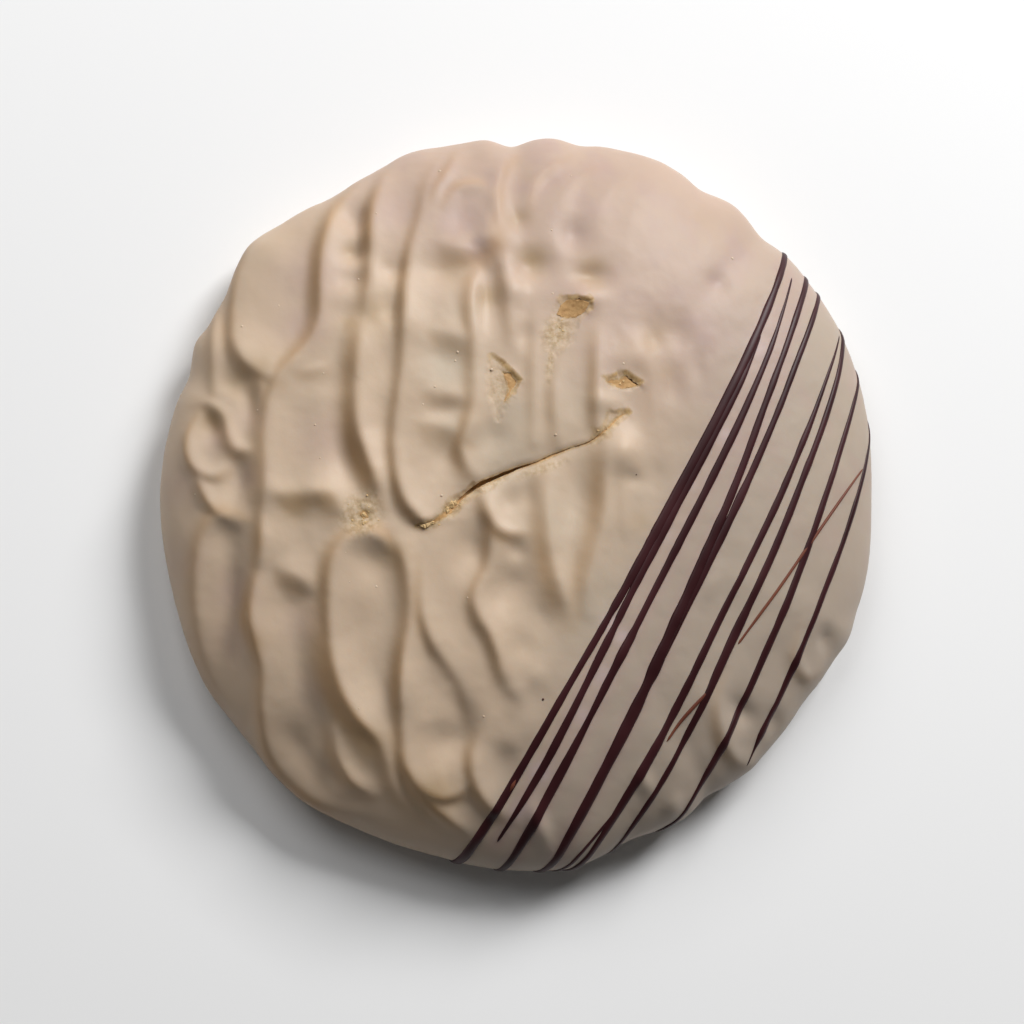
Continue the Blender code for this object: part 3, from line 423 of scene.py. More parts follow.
def soften(heights, width):
    """The height map with its creases rounded over the given width."""
    reach = int(3 * width / MAP_STEP) + 1
    weights = np.exp(-0.5 * (np.arange(-reach, reach + 1) * MAP_STEP / width) ** 2)
    weights /= weights.sum()
    for axis in (0, 1):
        heights = np.apply_along_axis(np.convolve, axis, heights, weights, "same")
    return heights


def relief_map():
    """Height of the folds and hollows, and strength of the golden crease band painted as shade, on a square
    grid over the top.
    """
    ticks = np.arange(-MAP_HALF, MAP_HALF + MAP_STEP, MAP_STEP)
    x, y = np.meshgrid(ticks, ticks)
    heights = np.zeros(x.shape)
    creases = np.zeros(x.shape)
    for hollow_reach, steep_reach, crest in FOLDS:
        reach = hollow_reach + steep_reach
        xs, ys, _ = zip(*crest)
        here = tuple(slice(*np.searchsorted(ticks, (min(run) - reach, max(run) + reach))) for run in (ys, xs))
        fold, crease = fold_height(x[here], y[here], hollow_reach, steep_reach, crest)
        fold *= FOLD_SCALE
        highest = fold >= heights[here] - 0.05
        creases[here] = np.where(highest, np.maximum(creases[here], crease), creases[here])
        heights[here] = np.maximum(heights[here], fold)
    for cx, cy, half_width, half_length, depth, *lean in HOLLOWS:
        across, along = leaning(x, y, cx, cy, *lean)
        heights -= FOLD_SCALE * depth * np.exp(-(across / half_width) ** 2 - (along / half_length) ** 2)
    return soften(heights, FOLD_SOFTNESS), soften(creases, CREASE_SOFTNESS)


RELIEF, CREASE_SHADE = relief_map()


def read_map(heights, x, y):
    """Values of a map at the points x, y."""
    column = np.clip((x + MAP_HALF) / MAP_STEP, 0, heights.shape[1] - 2)
    row = np.clip((y + MAP_HALF) / MAP_STEP, 0, heights.shape[0] - 2)
    i = column.astype(int)
    j = row.astype(int)
    u = column - i
    v = row - j
    near = heights[j, i] * (1 - u) + heights[j, i + 1] * u
    far = heights[j + 1, i] * (1 - u) + heights[j + 1, i + 1] * u
    return near * (1 - v) + far * v


# ---------------------------------------------------------------- the dome as a sheet laid over it
def rim_radius(angle):
    """Radius of the uneven outline in the given directions."""
    angle = angle % (2 * np.pi)
    radii = np.array(RIM)
    place = (angle / (2 * np.pi) * len(radii)) % len(radii)
    i = place.astype(int)
    radius = rounded(*(radii[(i + k) % len(radii)] for k in (-1, 0, 1, 2)), place - i)
    for direction, half_width, height in RIM_BUMPS:
        away = (np.degrees(angle) - direction + 180.0) % 360.0 - 180.0
        radius = radius + height * np.exp(-(away / half_width) ** 2)
    return radius


@functools.lru_cache
def dome_profile(inset):
    """Share of the radius, height and lean of the dome at even lengths from the crown to the waist."""
    swing = np.linspace(0.0, np.pi / 2, 4000)
    share = np.sin(swing) ** (2 / DOME_SPREAD)
    fall = np.clip(np.cos(swing), 0.0, 1.0) ** (2 / DOME_FALL)
    height = WAIST_HEIGHT + (CROWN_HEIGHT - WAIST_HEIGHT - inset) * fall
    length = run_lengths(np.column_stack([share * MEAN_RADIUS, height]))
    stops = np.linspace(0.0, 1.0, 400)
    share = np.interp(stops * length[-1], length, share)
    height = np.interp(stops * length[-1], length, height)
    lean = np.arctan2(-np.gradient(height), np.gradient(share) * MEAN_RADIUS)
    lean[-1] = np.pi / 2
    return stops, share, height, lean


def over_dome(sheet_x, sheet_y, inset=0.0, follow=1.0, lift=0.0):
    """Where the places of a flat round sheet come to lie when it is laid over the dome and down its wall."""
    stops, share, height, lean = dome_profile(inset)
    out = np.hypot(sheet_x, sheet_y) / ARC
    angle = np.arctan2(sheet_y, sheet_x)
    turn = np.clip((out - 1.0) * ARC / WALL, 0.0, 1.0) * np.pi / 2
    radius = (rim_radius(angle) - inset) * np.interp(out, stops, share) - FOOT_INSET * (1 - np.cos(turn))
    down_wall = WAIST_HEIGHT + (inset - WAIST_HEIGHT) * np.sin(turn)
    level = np.where(turn > 0, down_wall, np.interp(out, stops, height))
    slope = np.interp(out, stops, lean) + turn
    x = MIDDLE[0] + radius * np.cos(angle)
    y = MIDDLE[1] + radius * np.sin(angle)
    push = follow * read_map(RELIEF, x, y) * np.cos(turn) ** 2 + lift
    return np.column_stack([x + push * np.sin(slope) * np.cos(angle),
                            y + push * np.sin(slope) * np.sin(angle),
                            level + push * np.cos(slope)])


def on_sheet(x, y):
    """The place on the flat sheet that lies over the point x, y of the plain dome's plan."""
    stops, share = dome_profile(0.0)[:2]
    dx = x - MIDDLE[0]
    dy = y - MIDDLE[1]
    angle = np.arctan2(dy, dx)
    out = np.interp(np.hypot(dx, dy) / rim_radius(angle), share, stops) * ARC
    return out * np.cos(angle), out * np.sin(angle)


def sheet_under(x, y):
    """The place on the flat sheet that the folded dome carries to the point x, y of the plan."""
    aim_x, aim_y = x.copy(), y.copy()
    for _ in range(4):
        there = over_dome(*on_sheet(aim_x, aim_y))
        aim_x += x - there[:, 0]
        aim_y += y - there[:, 1]
    return on_sheet(aim_x, aim_y)


# ---------------------------------------------------------------- the crack and the broken places
def crack_distance(x, y):
    """Distance from the middle line of the crack, and from its edge."""
    away, _, half_width = nearest_on(smooth_curve(CRACK, CURVE_PARTS + 1), x, y)
    return away, away - half_width


def valley_at(x, y):
    """How far the coating sinks along the crack, less towards its ends."""
    away = crack_distance(x, y)[0]
    depth = VALLEY * np.interp(x, (-13.0, -9.0, -1.0, 4.0, 9.0), (0.3, 1.0, 1.0, 0.7, 0.2))
    return depth * np.exp(-(away / VALLEY_REACH) ** 1.4)


def spot_distance(spot, x, y):
    """Distance from the edge of one broken spot; inside it is negative."""
    ring = np.array(spot + spot[:1])
    away = nearest_on(ring, x, y)[0]
    inside = np.zeros(x.shape, dtype=bool)
    for (ax, ay), (bx, by) in zip(ring[:-1], ring[1:]):
        crosses = (ay > y) != (by > y)
        at = ax + (y - ay) * (bx - ax) / np.where(by == ay, 1e-9, by - ay)
        inside ^= crosses & (x < at)
    return np.where(inside, -away, away)


def break_distance(x, y):
    """Distance from the nearest edge of the crack or of a broken spot; inside them it is negative."""
    best = crack_distance(x, y)[1]
    for spot in SPOTS:
        best = np.minimum(best, spot_distance(spot, x, y))
    return best


def break_facing(x, y, step=0.1):
    """Which way a place lies from the nearest break: 1 straight to its upper right, -1 to its lower left."""
    away_x = break_distance(x + step, y) - break_distance(x - step, y)
    away_y = break_distance(x, y + step) - break_distance(x, y - step)
    return (0.7 * away_x + 0.7 * away_y) / np.maximum(np.hypot(away_x, away_y), 1e-6)


def roughness_at(x, y):
    """How rough and crumbly the coating is at the points x, y."""
    amount = np.zeros(x.shape)
    for cx, cy, half_width, half_length, lean, strength in ROUGH:
        across, along = leaning(x, y, cx, cy, lean)
        out = np.hypot(across / half_width, along / half_length)
        amount = np.maximum(amount, strength * np.clip(1.6 - 1.2 * out, 0.0, 1.0))
    return amount


def chips_at(x, y):
    """How far the points x, y are within a chipped place, and how deep it is there."""
    sway = np.array([0.4 * noise.fractal(Vector((0.6 * a, 0.6 * b, 5.0)), 0.9, 2.0, 2) for a, b in zip(x, y)])
    within = np.zeros(x.shape)
    sunk = np.zeros(x.shape)
    for outline, depth in CHIPS:
        share = np.clip(0.5 - spot_distance(outline, x + sway, y - sway), 0.0, 1.0)
        within = np.maximum(within, share)
        xs = [corner[0] for corner in outline]
        slant = np.interp(x, (min(xs), max(xs)), (0.3, 1.0))
        sunk = np.maximum(sunk, depth * slant * share ** 2 * (3.0 - 2.0 * share))
    return within, sunk


# ---------------------------------------------------------------- making meshes
def choose(*pieces):
    """Selects just these pieces, with the first one active."""
    bpy.ops.object.select_all(action="DESELECT")
    for piece in reversed(pieces):
        piece.select_set(True)
        bpy.context.view_layer.objects.active = piece


def open_edit(piece, kind):
    """Opens edit mode on the piece with nothing selected."""
    choose(piece)
    bpy.ops.object.mode_set(mode="EDIT")
    bpy.ops.mesh.select_mode(type=kind)
    bpy.ops.mesh.select_all(action="DESELECT")


def close_edit():
    """Goes back to object mode."""
    bpy.ops.object.mode_set(mode="OBJECT")


def select_faces(piece, wanted=True):
    """Opens edit mode with just the wanted faces selected, or with all of them."""
    open_edit(piece, "FACE")
    close_edit()
    piece.data.polygons.foreach_set("select", np.full(len(piece.data.polygons), wanted))
    bpy.ops.object.mode_set(mode="EDIT")


def select_border(piece):
    """Opens edit mode with the open border selected."""
    open_edit(piece, "EDGE")
    bpy.ops.mesh.select_non_manifold(extend=False, use_boundary=True, use_wire=False, use_multi_face=False,
                                     use_non_contiguous=False, use_verts=False)


def turn_over(piece):
    """Turns all the faces round."""
    select_faces(piece)
    bpy.ops.mesh.flip_normals()
    close_edit()


def face_outwards(piece):
    """Turns the faces of a closed piece outwards."""
    select_faces(piece)
    bpy.ops.mesh.normals_make_consistent(inside=False)
    close_edit()


def points_of(piece):
    """The piece's points as an array."""
    flat = np.empty(3 * len(piece.data.vertices))
    piece.data.vertices.foreach_get("co", flat)
    return flat.reshape(-1, 3)


def set_points(piece, points):
    """Moves the piece's points."""
    piece.data.vertices.foreach_set("co", np.ascontiguousarray(points, dtype=float).ravel())
    piece.data.update()


def new_piece(name, points, faces):
    """A piece made of the given points and faces."""
    mesh = bpy.data.meshes.new(name)
    mesh.from_pydata([tuple(point) for point in points], [], faces)
    piece = bpy.data.objects.new(name, mesh)
    bpy.context.scene.collection.objects.link(piece)
    return piece


def joined(pieces, name):
    """Several pieces as one."""
    choose(*pieces)
    bpy.ops.object.join()
    pieces[0].name = name
    return pieces[0]


def round_sheet(name, radius, cuts):
    """A flat round sheet of even triangles, from a six-sided one cut finer and pushed out round."""
    choose()
    bpy.ops.mesh.primitive_circle_add(vertices=6, radius=radius, fill_type="TRIFAN", location=(0, 0, 0))
    sheet = bpy.context.object
    sheet.name = name
    bpy.ops.object.mode_set(mode="EDIT")
    for number in cuts:
        bpy.ops.mesh.select_all(action="SELECT")
        bpy.ops.mesh.subdivide(number_cuts=number)
    close_edit()
    points = points_of(sheet)
    sixth = np.pi / 3
    corner = np.arctan2(sheet.data.vertices[1].co.y, sheet.data.vertices[1].co.x)
    angle = (np.arctan2(points[:, 1], points[:, 0]) - corner) % (2 * np.pi)
    sector = np.minimum(np.floor(angle / sixth), 5)
    within = angle - sector * sixth
    reach = np.hypot(points[:, 0], points[:, 1])
    across = reach * np.sin(within) / np.sin(sixth)
    out = reach * np.cos(within) - across * np.cos(sixth) + across
    turned = corner + (sector + across / np.maximum(out, 1e-9)) * sixth
    set_points(sheet, np.column_stack([out * np.cos(turned), out * np.sin(turned), np.zeros(len(out))]))
    return sheet


def widen_border(piece, radius, step, rows):
    """Grows rows of faces out of the round sheet's border."""
    select_border(piece)
    for row in range(rows):
        before = radius + row * step
        factor = (before + step) / before
        bpy.ops.mesh.extrude_edges_move()
        bpy.ops.transform.resize(value=(factor, factor, 1.0), center_override=(0.0, 0.0, 0.0))
    close_edit()


def refine_near_breaks(sheet, reach, cuts):
    """Cuts the faces near the breaks finer, while the sheet is still flat."""
    middles = np.empty(3 * len(sheet.data.polygons))
    sheet.data.polygons.foreach_get("center", middles)
    x, y, _ = over_dome(middles[0::3], middles[1::3], 0.0, 0.0).T
    wanted = (break_distance(x, y) < reach) | (roughness_at(x, y) > FINE_ROUGHNESS)
    for outline, _ in CHIPS:
        wanted |= spot_distance(outline, x, y) < FINE_REACH
    select_faces(sheet, wanted)
    bpy.ops.mesh.subdivide(number_cuts=cuts)
    close_edit()


def close_below(piece, level, cuts):
    """Closes the open foot with a round flat sheet at the level of the foot, bridged to it."""
    under = round_sheet("underside", ARC, cuts)
    x, y, _ = points_of(under).T
    angle = np.arctan2(y, x)
    radius = (rim_radius(angle) - level - FOOT_INSET - UNDER_INSET) * np.hypot(x, y) / ARC
    set_points(under, np.column_stack([MIDDLE[0] + radius * np.cos(angle), MIDDLE[1] + radius * np.sin(angle),
                                       np.full(len(x), level)]))
    turn_over(under)
    joined([piece, under], piece.name)
    select_border(piece)
    bpy.ops.mesh.bridge_edge_loops()
    close_edit()


def dome_skin(name, cuts, wall_rows, under_cuts, inset, follow, refine=None):
    """A closed skin of dome, wall and underside, set in from the outside, that follows the folds in part."""
    sheet = round_sheet(name, ARC, cuts)
    if refine:
        refine_near_breaks(sheet, *refine)
    widen_border(sheet, ARC, WALL / wall_rows, wall_rows)
    flat = points_of(sheet)
    set_points(sheet, over_dome(flat[:, 0], flat[:, 1], inset, follow))
    close_below(sheet, inset, under_cuts)
    return sheet


def rough_outline(points, rough, seed):
    """A closed counter-clockwise outline cut into short steps with a ragged edge."""
    ring = np.array([*points, points[0]])
    length = run_lengths(ring)
    count = int(length[-1] / CUT_STEP)
    stations = np.linspace(0.0, length[-1], count, endpoint=False)
    x, y = (np.interp(stations, length, ring[:, k]) for k in (0, 1))
    ahead_x = np.roll(x, -1) - np.roll(x, 1)
    ahead_y = np.roll(y, -1) - np.roll(y, 1)
    size = np.hypot(ahead_x, ahead_y)
    draw = random.Random(seed)
    drift = rough * np.array([draw.uniform(-1.0, 1.0) for _ in range(count)])
    drift = 0.6 * drift + 0.2 * np.roll(drift, 1) + 0.2 * np.roll(drift, -1)
    return list(zip(x + drift * ahead_y / size, y - drift * ahead_x / size))


def across_line(line):
    """For each point of a line, the direction across it to the left."""
    heading = np.gradient(line[:, :2], axis=0)
    heading /= np.linalg.norm(heading, axis=1)[:, None]
    return np.column_stack([-heading[:, 1], heading[:, 0]])


def crack_outline():
    """The crack as one narrow outline, counter-clockwise."""
    line = smooth_curve(CRACK, CURVE_PARTS)
    across = across_line(line) * line[:, 2:]
    return np.vstack([line[:, :2] - across, (line[:, :2] + across)[::-1]])


def cutter_of(outline, name):
    """An upright block on the outline: a flat face pulled up by extruding it."""
    block = new_piece(name, [(x, y, CUT_LOW) for x, y in outline], [tuple(range(len(outline)))])
    select_faces(block)
    bpy.ops.mesh.extrude_region_move(TRANSFORM_OT_translate={"value": (0.0, 0.0, CUT_HIGH - CUT_LOW)})
    close_edit()
    face_outwards(block)
    return block


def cut_openings(piece, inner_material):
    """Cuts the crack and the broken spots right through the shell."""
    outlines = [rough_outline(crack_outline(), 0.05, 3)]
    outlines += [rough_outline(spot, 0.20, 10 + i) for i, spot in enumerate(SPOTS)]
    for i, outline in enumerate(outlines):
        block = cutter_of(outline, "cutter%d" % i)
        block.data.materials.append(inner_material)
        cut = piece.modifiers.new("cut", "BOOLEAN")
        cut.operation = "DIFFERENCE"
        cut.solver = "EXACT"
        cut.material_mode = "TRANSFER"
        cut.object = block
        choose(piece)
        bpy.ops.object.modifier_apply(modifier=cut.name)
        bpy.data.objects.remove(block, do_unlink=True)


def smooth(piece, degrees):
    """Smooth shading with edges sharper than this kept crisp."""
    choose(piece)
    bpy.ops.object.shade_smooth_by_angle(angle=math.radians(degrees))


def finish_piece(piece, node=None):
    """Turns millimetres into metres about the part's middle and hangs the piece on the frame."""
    set_points(piece, (points_of(piece) - (*CENTRE, 0.0)) * MM)
    piece.location = (0.0, 0.0, 0.0)
    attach(piece, "root")
    if node:
        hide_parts(node)


# ---------------------------------------------------------------- wear of the coating, and its painted shade and sheen
def unevenness(points, rough):
    """Height of the crumbled grain and of the faint waves all over the coating."""
    rise = np.zeros(len(points))
    for i in np.nonzero(rough > 0.02)[0]:
        place = Vector((points[i][0] * 1.3, points[i][1] * 0.75, points[i][2]))
        rise[i] = ROUGH_HEIGHT * noise.fractal(place, 0.8, 2.1, 3) * rough[i]
    for i in np.nonzero(points[:, 2] > FOOT_LEVEL)[0]:
        place = Vector(points[i])
        rise[i] += WAVE_HEIGHT * noise.noise(place * 0.33) + WAVELET_HEIGHT * noise.noise(place * 0.9)
    return rise


def patches_at(patches, x, y):
    """How much of a patch's tint there is at the points x, y."""
    amount = np.zeros(x.shape)
    for cx, cy, radius, strength in patches:
        amount = np.maximum(amount, strength * np.exp(-((x - cx) ** 2 + (y - cy) ** 2) / radius ** 2))
    return amount


def tints_at(x, y):
    """How strong each tint is at the points x, y. The mauve is painted shade in the hollows, a painted sheen
    between the first strands and the coating's own tone in faint blotches to the upper right."""
    tints = {name: patches_at(patches, x, y) for name, patches in PATCHES.items()}
    # The crease band is painted shade, golden on the steep side of each fold.
    tints["crease_shade"] = read_map(CREASE_SHADE, x, y) / CREASE_FULL
    # Mauve beside the first strands is a painted sheen.
    for _, _, path in STRANDS[1:4]:
        between = np.exp(-(nearest_on(np.array(path), x, y)[0] / BETWEEN_REACH) ** 2)
        tints["mauve"] = np.maximum(tints["mauve"], between)
    # The mauve blotches to the upper right are the coating's own tone.
    blotch = np.array([noise.fractal(Vector((0.16 * a, 0.16 * b, 3.0)), 0.6, 2.0, 3) for a, b in zip(x, y)])
    upper_right = np.clip((0.55 * x + 0.83 * y - 10.0) / 20.0, 0.0, 1.0)
    tints["mauve"] = tints["mauve"] + 0.9 * np.clip(blotch + 0.05, 0.0, 1.0) * upper_right
    return tints


def weather_and_paint_shade(shell):
    """Sinks the valley of the crack and the chipped places, raises a lip on the upper right of each break,
    roughens the crumbled places, makes the whole faintly uneven, and marks each point for the finish and its
    painted shade."""
    points = points_of(shell)
    x, y, z = points.T.copy()
    on_top = z > TOP_LEVEL
    near = np.where(on_top, break_distance(x, y), 9.0)
    facing = break_facing(x, y)
    rough = np.where(on_top, roughness_at(x, y), 0.0)
    chipped, sunk = np.where(on_top, chips_at(x, y), 0.0)
    sunk += np.where(on_top, valley_at(x, y), 0.0)
    lip = LIP * np.exp(-((near - LIP_PLACE) / LIP_WIDTH) ** 2) * np.clip(facing + 0.2, 0.0, 1.0)
    rise = unevenness(points, rough)
    points[:, 2] += np.where(on_top, rise - sunk + lip, 0.0)
    wall = ~on_top & (z > FOOT_LEVEL)
    outward = points[wall, :2] - MIDDLE
    outward /= np.linalg.norm(outward, axis=1)[:, None]
    points[wall, :2] += outward * rise[wall, None]
    set_points(shell, points)
    # Painted shade: chip walls on the upper right of a break face away from the light and get more of the
    # brown; a brown band also runs along every break edge.
    chip_wall_shade = 4.0 * chipped * (1.0 - chipped) * np.clip(0.4 + facing, 0.0, 1.0)
    marks = {"crumbled": np.maximum(rough, 0.4 * chipped),
             "brown_edge_and_shade": np.maximum(chip_wall_shade, np.exp(-(near / BROWN_EDGE_WIDTH) ** 2))}
    for name, amount in tints_at(*points[:, :2].T).items():
        marks[name] = np.where(points[:, 2] > WAIST_HEIGHT, amount, 0.0)
    for name, amount in marks.items():
        mark = shell.data.attributes.new(name, "FLOAT", "POINT")
        mark.data.foreach_set("value", np.clip(amount, 0.0, 1.0))


# ---------------------------------------------------------------- finishes
# Cream of the left, of the upper right and of the lower right: darker and lighter. The two right-hand ones
# are partly the coating's tone and partly painted shade.
WARM = ((0.525, 0.395, 0.283), (0.565, 0.435, 0.318))
COOL = ((0.43, 0.315, 0.245), (0.47, 0.345, 0.27))
RIGHT = ((0.39, 0.315, 0.25), (0.425, 0.345, 0.275))
# Tints mixed in where the points are marked: mark, share and colour
# The golden and crease tints are painted shade, the mauve is painted shade in the hollows and painted sheen
# by the strands, and the sheen is a painted highlight.
TINTS = (("grey", 0.8, (0.47, 0.40, 0.31)), ("golden", 0.8, (0.41, 0.285, 0.16)),
         ("mauve", 0.7, (0.42, 0.30, 0.26)), ("crease_shade", 0.75, (0.40, 0.235, 0.105)),
         ("sheen", 0.7, (0.53, 0.41, 0.40)))
# Colours of the crumbled places, and of the brown band along the breaks that is partly painted shade, along
# the grain
CRUMBLED = ((0.34, (0.34, 0.225, 0.11)), (0.46, (0.45, 0.32, 0.175)), (0.58, (0.56, 0.43, 0.29)))
BROWN_EDGE_AND_SHADE = ((0.38, (0.32, 0.19, 0.07)), (0.60, (0.50, 0.33, 0.145)))


def set_inputs(tree, node, values):
    """Sets or links the inputs of a node."""
    for name, value in values.items():
        if isinstance(value, bpy.types.NodeSocket):
            tree.links.new(value, node.inputs[name])
        else:
            node.inputs[name].default_value = value


def add_node(tree, kind, values=None, **settings):
    """A new node with these settings. Its inputs get the values, or are linked where a value is a socket."""
    node = tree.nodes.new("ShaderNode" + kind)
    for name, setting in settings.items():
        setattr(node, name, setting)
    set_inputs(tree, node, values or {})
    return node


def new_material(name):
    """A Principled material: itself, its node tree and its shader."""
    material = bpy.data.materials.new(name)
    material.use_nodes = True
    return material, material.node_tree, material.node_tree.nodes["Principled BSDF"]


def grain_over(tree, scale, detail, roughness=0.5):
    """A noise over the piece's own coordinates, which are in metres."""
    place = add_node(tree, "TexCoord").outputs["Object"]
    return add_node(tree, "TexNoise", {"Vector": place, "Scale": scale, "Detail": detail,
                                       "Roughness": roughness}).outputs["Fac"]


def mixed(tree, amount, first, second):
    """The first colour with the second mixed in."""
    node = add_node(tree, "Mix", {"Factor": amount, "A": first, "B": second}, data_type="RGBA")
    return node.outputs["Result"]


def ramp(tree, value, stops):
    """A colour ramp over the value."""
    node = add_node(tree, "ValToRGB", {"Fac": value})
    while len(node.color_ramp.elements) < len(stops):
        node.color_ramp.elements.new(0.5)
    for element, (position, colour) in zip(node.color_ramp.elements, stops):
        element.position = position
        element.color = (*colour, 1.0)
    return node.outputs["Color"]


def slanting(tree, direction, start, stop):
    """A soft change from 0 to 1 across the piece in the given direction."""
    place = add_node(tree, "TexCoord").outputs["Object"]
    slant = add_node(tree, "VectorMath", {0: place, 1: direction}, operation="DOT_PRODUCT").outputs["Value"]
    return add_node(tree, "MapRange", {"Value": slant, "From Min": start, "From Max": stop},
                    interpolation_type="SMOOTHSTEP").outputs["Result"]


def share_of_mark(tree, name, share):
    """The mark stored on the piece's points under this name, times the share."""
    mark = add_node(tree, "Attribute", attribute_name=name).outputs["Fac"]
    return add_node(tree, "Math", {0: mark, 1: share}, operation="MULTIPLY").outputs["Value"]


def bumps(tree, height, strength, distance):
    """A fine bump over the surface, for the shader's normal."""
    node = add_node(tree, "Bump", {"Height": height, "Strength": strength, "Distance": distance})
    return node.outputs["Normal"]


def cream_material():
    """Cream coating: warm, rosier to the upper right and greyer to the lower right, both partly painted
    shade, golden painted shade in the creases, soft patches of grey, of golden and mauve painted shade and of
    pale painted sheen, crumbly and speckled where it broke."""
    material, tree, shader = new_material("cream coating")
    mottle = grain_over(tree, 60.0, 3.0)
    warm, cool, right = (ramp(tree, mottle, ((0.30, dark), (0.70, light)))
                         for dark, light in (WARM, COOL, RIGHT))
    # Darker to the upper right and lower right: partly the coating's tone, partly painted shade.
    skin = mixed(tree, slanting(tree, (0.55, 0.83, 0.0), 0.006, 0.030), warm, cool)
    skin = mixed(tree, slanting(tree, (0.88, -0.47, 0.0), 0.006, 0.024), skin, right)
    for mark, share, tint in TINTS:
        skin = mixed(tree, share_of_mark(tree, mark, share), skin, (*tint, 1.0))
    speck = grain_over(tree, 1300.0, 3.0, 0.6)
    colour = mixed(tree, share_of_mark(tree, "crumbled", 0.8), skin, ramp(tree, speck, CRUMBLED))
    colour = mixed(tree, share_of_mark(tree, "brown_edge_and_shade", 0.9), colour, ramp(tree, speck, BROWN_EDGE_AND_SHADE))
    dull = add_node(tree, "MapRange", {"Value": share_of_mark(tree, "crumbled", 1.0), "To Min": 0.47,
                                       "To Max": 0.75}).outputs["Result"]
    set_inputs(tree, shader, {"Base Color": colour, "Roughness": dull, "Specular IOR Level": 0.25,
                              "Subsurface Weight": 0.20, "Subsurface Radius": (1.0, 0.55, 0.30),
                              "Subsurface Scale": 0.0007,
                              "Normal": bumps(tree, grain_over(tree, 900.0, 4.0), 0.05, 0.0004)})
    return material


def grainy_material(name, grain, stops, roughness, specular=0.5, bump=None):
    """A finish coloured by a grain of the given scale, detail and roughness, with or without a bump."""
    material, tree, shader = new_material(name)
    height = grain_over(tree, *grain)
    set_inputs(tree, shader, {"Base Color": ramp(tree, height, stops), "Roughness": roughness,
                              "Specular IOR Level": specular})
    if bump:
        set_inputs(tree, shader, {"Normal": bumps(tree, height, *bump)})
    return material


def broken_material():
    """Broken edge of the coating: dull and grainy."""
    stops = ((0.35, (0.44, 0.29, 0.14)), (0.60, (0.62, 0.46, 0.28)))
    return grainy_material("broken coating", (1800.0, 4.0, 0.7), stops, roughness=0.8)


def pale_material():
    """Cream of the tiny bubbles, a little paler and glossier than the coating."""
    stops = ((0.30, (0.56, 0.43, 0.30)), (0.70, (0.62, 0.48, 0.35)))
    return grainy_material("pale cream", (300.0, 2.0), stops, roughness=0.4)


def crumb_material(name, dark, middle, light):
    """Golden-brown crumb."""
    stops = ((0.30, dark), (0.50, middle), (0.70, light))
    return grainy_material(name, (1300.0, 5.0, 0.7), stops, roughness=0.75, bump=(0.15, 0.0003))


def chocolate_material(name, dark, light):
    """Dark chocolate: near black with a violet-brown bloom and a soft gloss."""
    stops = ((0.35, dark), (0.65, light))
    return grainy_material(name, (120.0, 3.0), stops, roughness=0.42, specular=0.22)


# ---------------------------------------------------------------- the pieces
def make_coating():
    """The cream shell, open at the crack and the broken spots."""
    cream = cream_material()
    broken = broken_material()
    shell = dome_skin("cream_shell", (10, 11), 5, (10, 2), 0.0, 1.0, refine=(0.9, 3))
    weather_and_paint_shade(shell)
    hollow = dome_skin("hollow", (10, 2), 2, (10,), SHELL, CORE_SHARE)
    turn_over(hollow)
    shell.data.materials.append(cream)
    hollow.data.materials.append(cream)
    joined([shell, hollow], shell.name)
    cut_openings(shell, broken)
    smooth(shell, 50.0)
    finish_piece(shell, "coating")


def make_core():
    """The biscuit: its top is rough crumb, raised into the breaks of the coating."""
    core = dome_skin("crumb_core", (10, 2), 2, (10,), SHELL + GAP, CORE_SHARE, refine=(0.6, 9))
    points = points_of(core)
    x, y, z = points.T.copy()
    share = np.clip((0.45 - break_distance(x, y)) / 0.25, 0.0, 1.0)
    rough = np.array([noise.fractal(Vector(point) * 1.6, 0.6, 2.0, 4) for point in points])
    rise = CRUMB_RISE + (1.0 - CORE_SHARE) * read_map(RELIEF, x, y) - chips_at(x, y)[1] - valley_at(x, y)
    deep = np.interp(x, (-8.5, -6.5, -2.0, 1.0), (0.0, DEEP_CRUMB, DEEP_CRUMB, 0.1))
    rise += CRUMB_ROUGHNESS * rough - np.where(y < DEEP_BELOW, deep, 0.0)
    points[:, 2] += np.where(z > WAIST_HEIGHT, share * rise, 0.0)
    set_points(core, points)
    finish = crumb_material("golden crumb", (0.36, 0.19, 0.07), (0.44, 0.25, 0.095), (0.52, 0.32, 0.14))
    core.data.materials.append(finish)
    smooth(core, 60.0)
    finish_piece(core, "biscuit")


def run_on(curve, length):
    """A curve with a straight run added at its end, in the direction of its last stretch."""
    if not length:
        return curve
    step = curve[-1] - curve[-1 - STRAND_PARTS]
    step[2] = 0.0
    return np.vstack([curve, curve[-1] + step / np.hypot(step[0], step[1]) * length])


def strand_points(over_start, over_end, path, spacing):
    """Even places along a strand on the flat sheet, with the width at each, run on over the rim."""
    line = np.array(path, dtype=float)
    line[1:-1, :2] = 0.25 * line[:-2, :2] + 0.5 * line[1:-1, :2] + 0.25 * line[2:, :2]
    line = smooth_curve(line, STRAND_PARTS)
    curve = run_on(np.column_stack([*sheet_under(line[:, 0], line[:, 1]), line[:, 2]]), over_end)
    curve = run_on(curve[::-1], over_start)[::-1]
    length = run_lengths(curve)
    stations = np.linspace(0.0, length[-1], int(length[-1] / spacing))
    return np.column_stack([np.interp(stations, length, curve[:, k]) for k in range(3)])


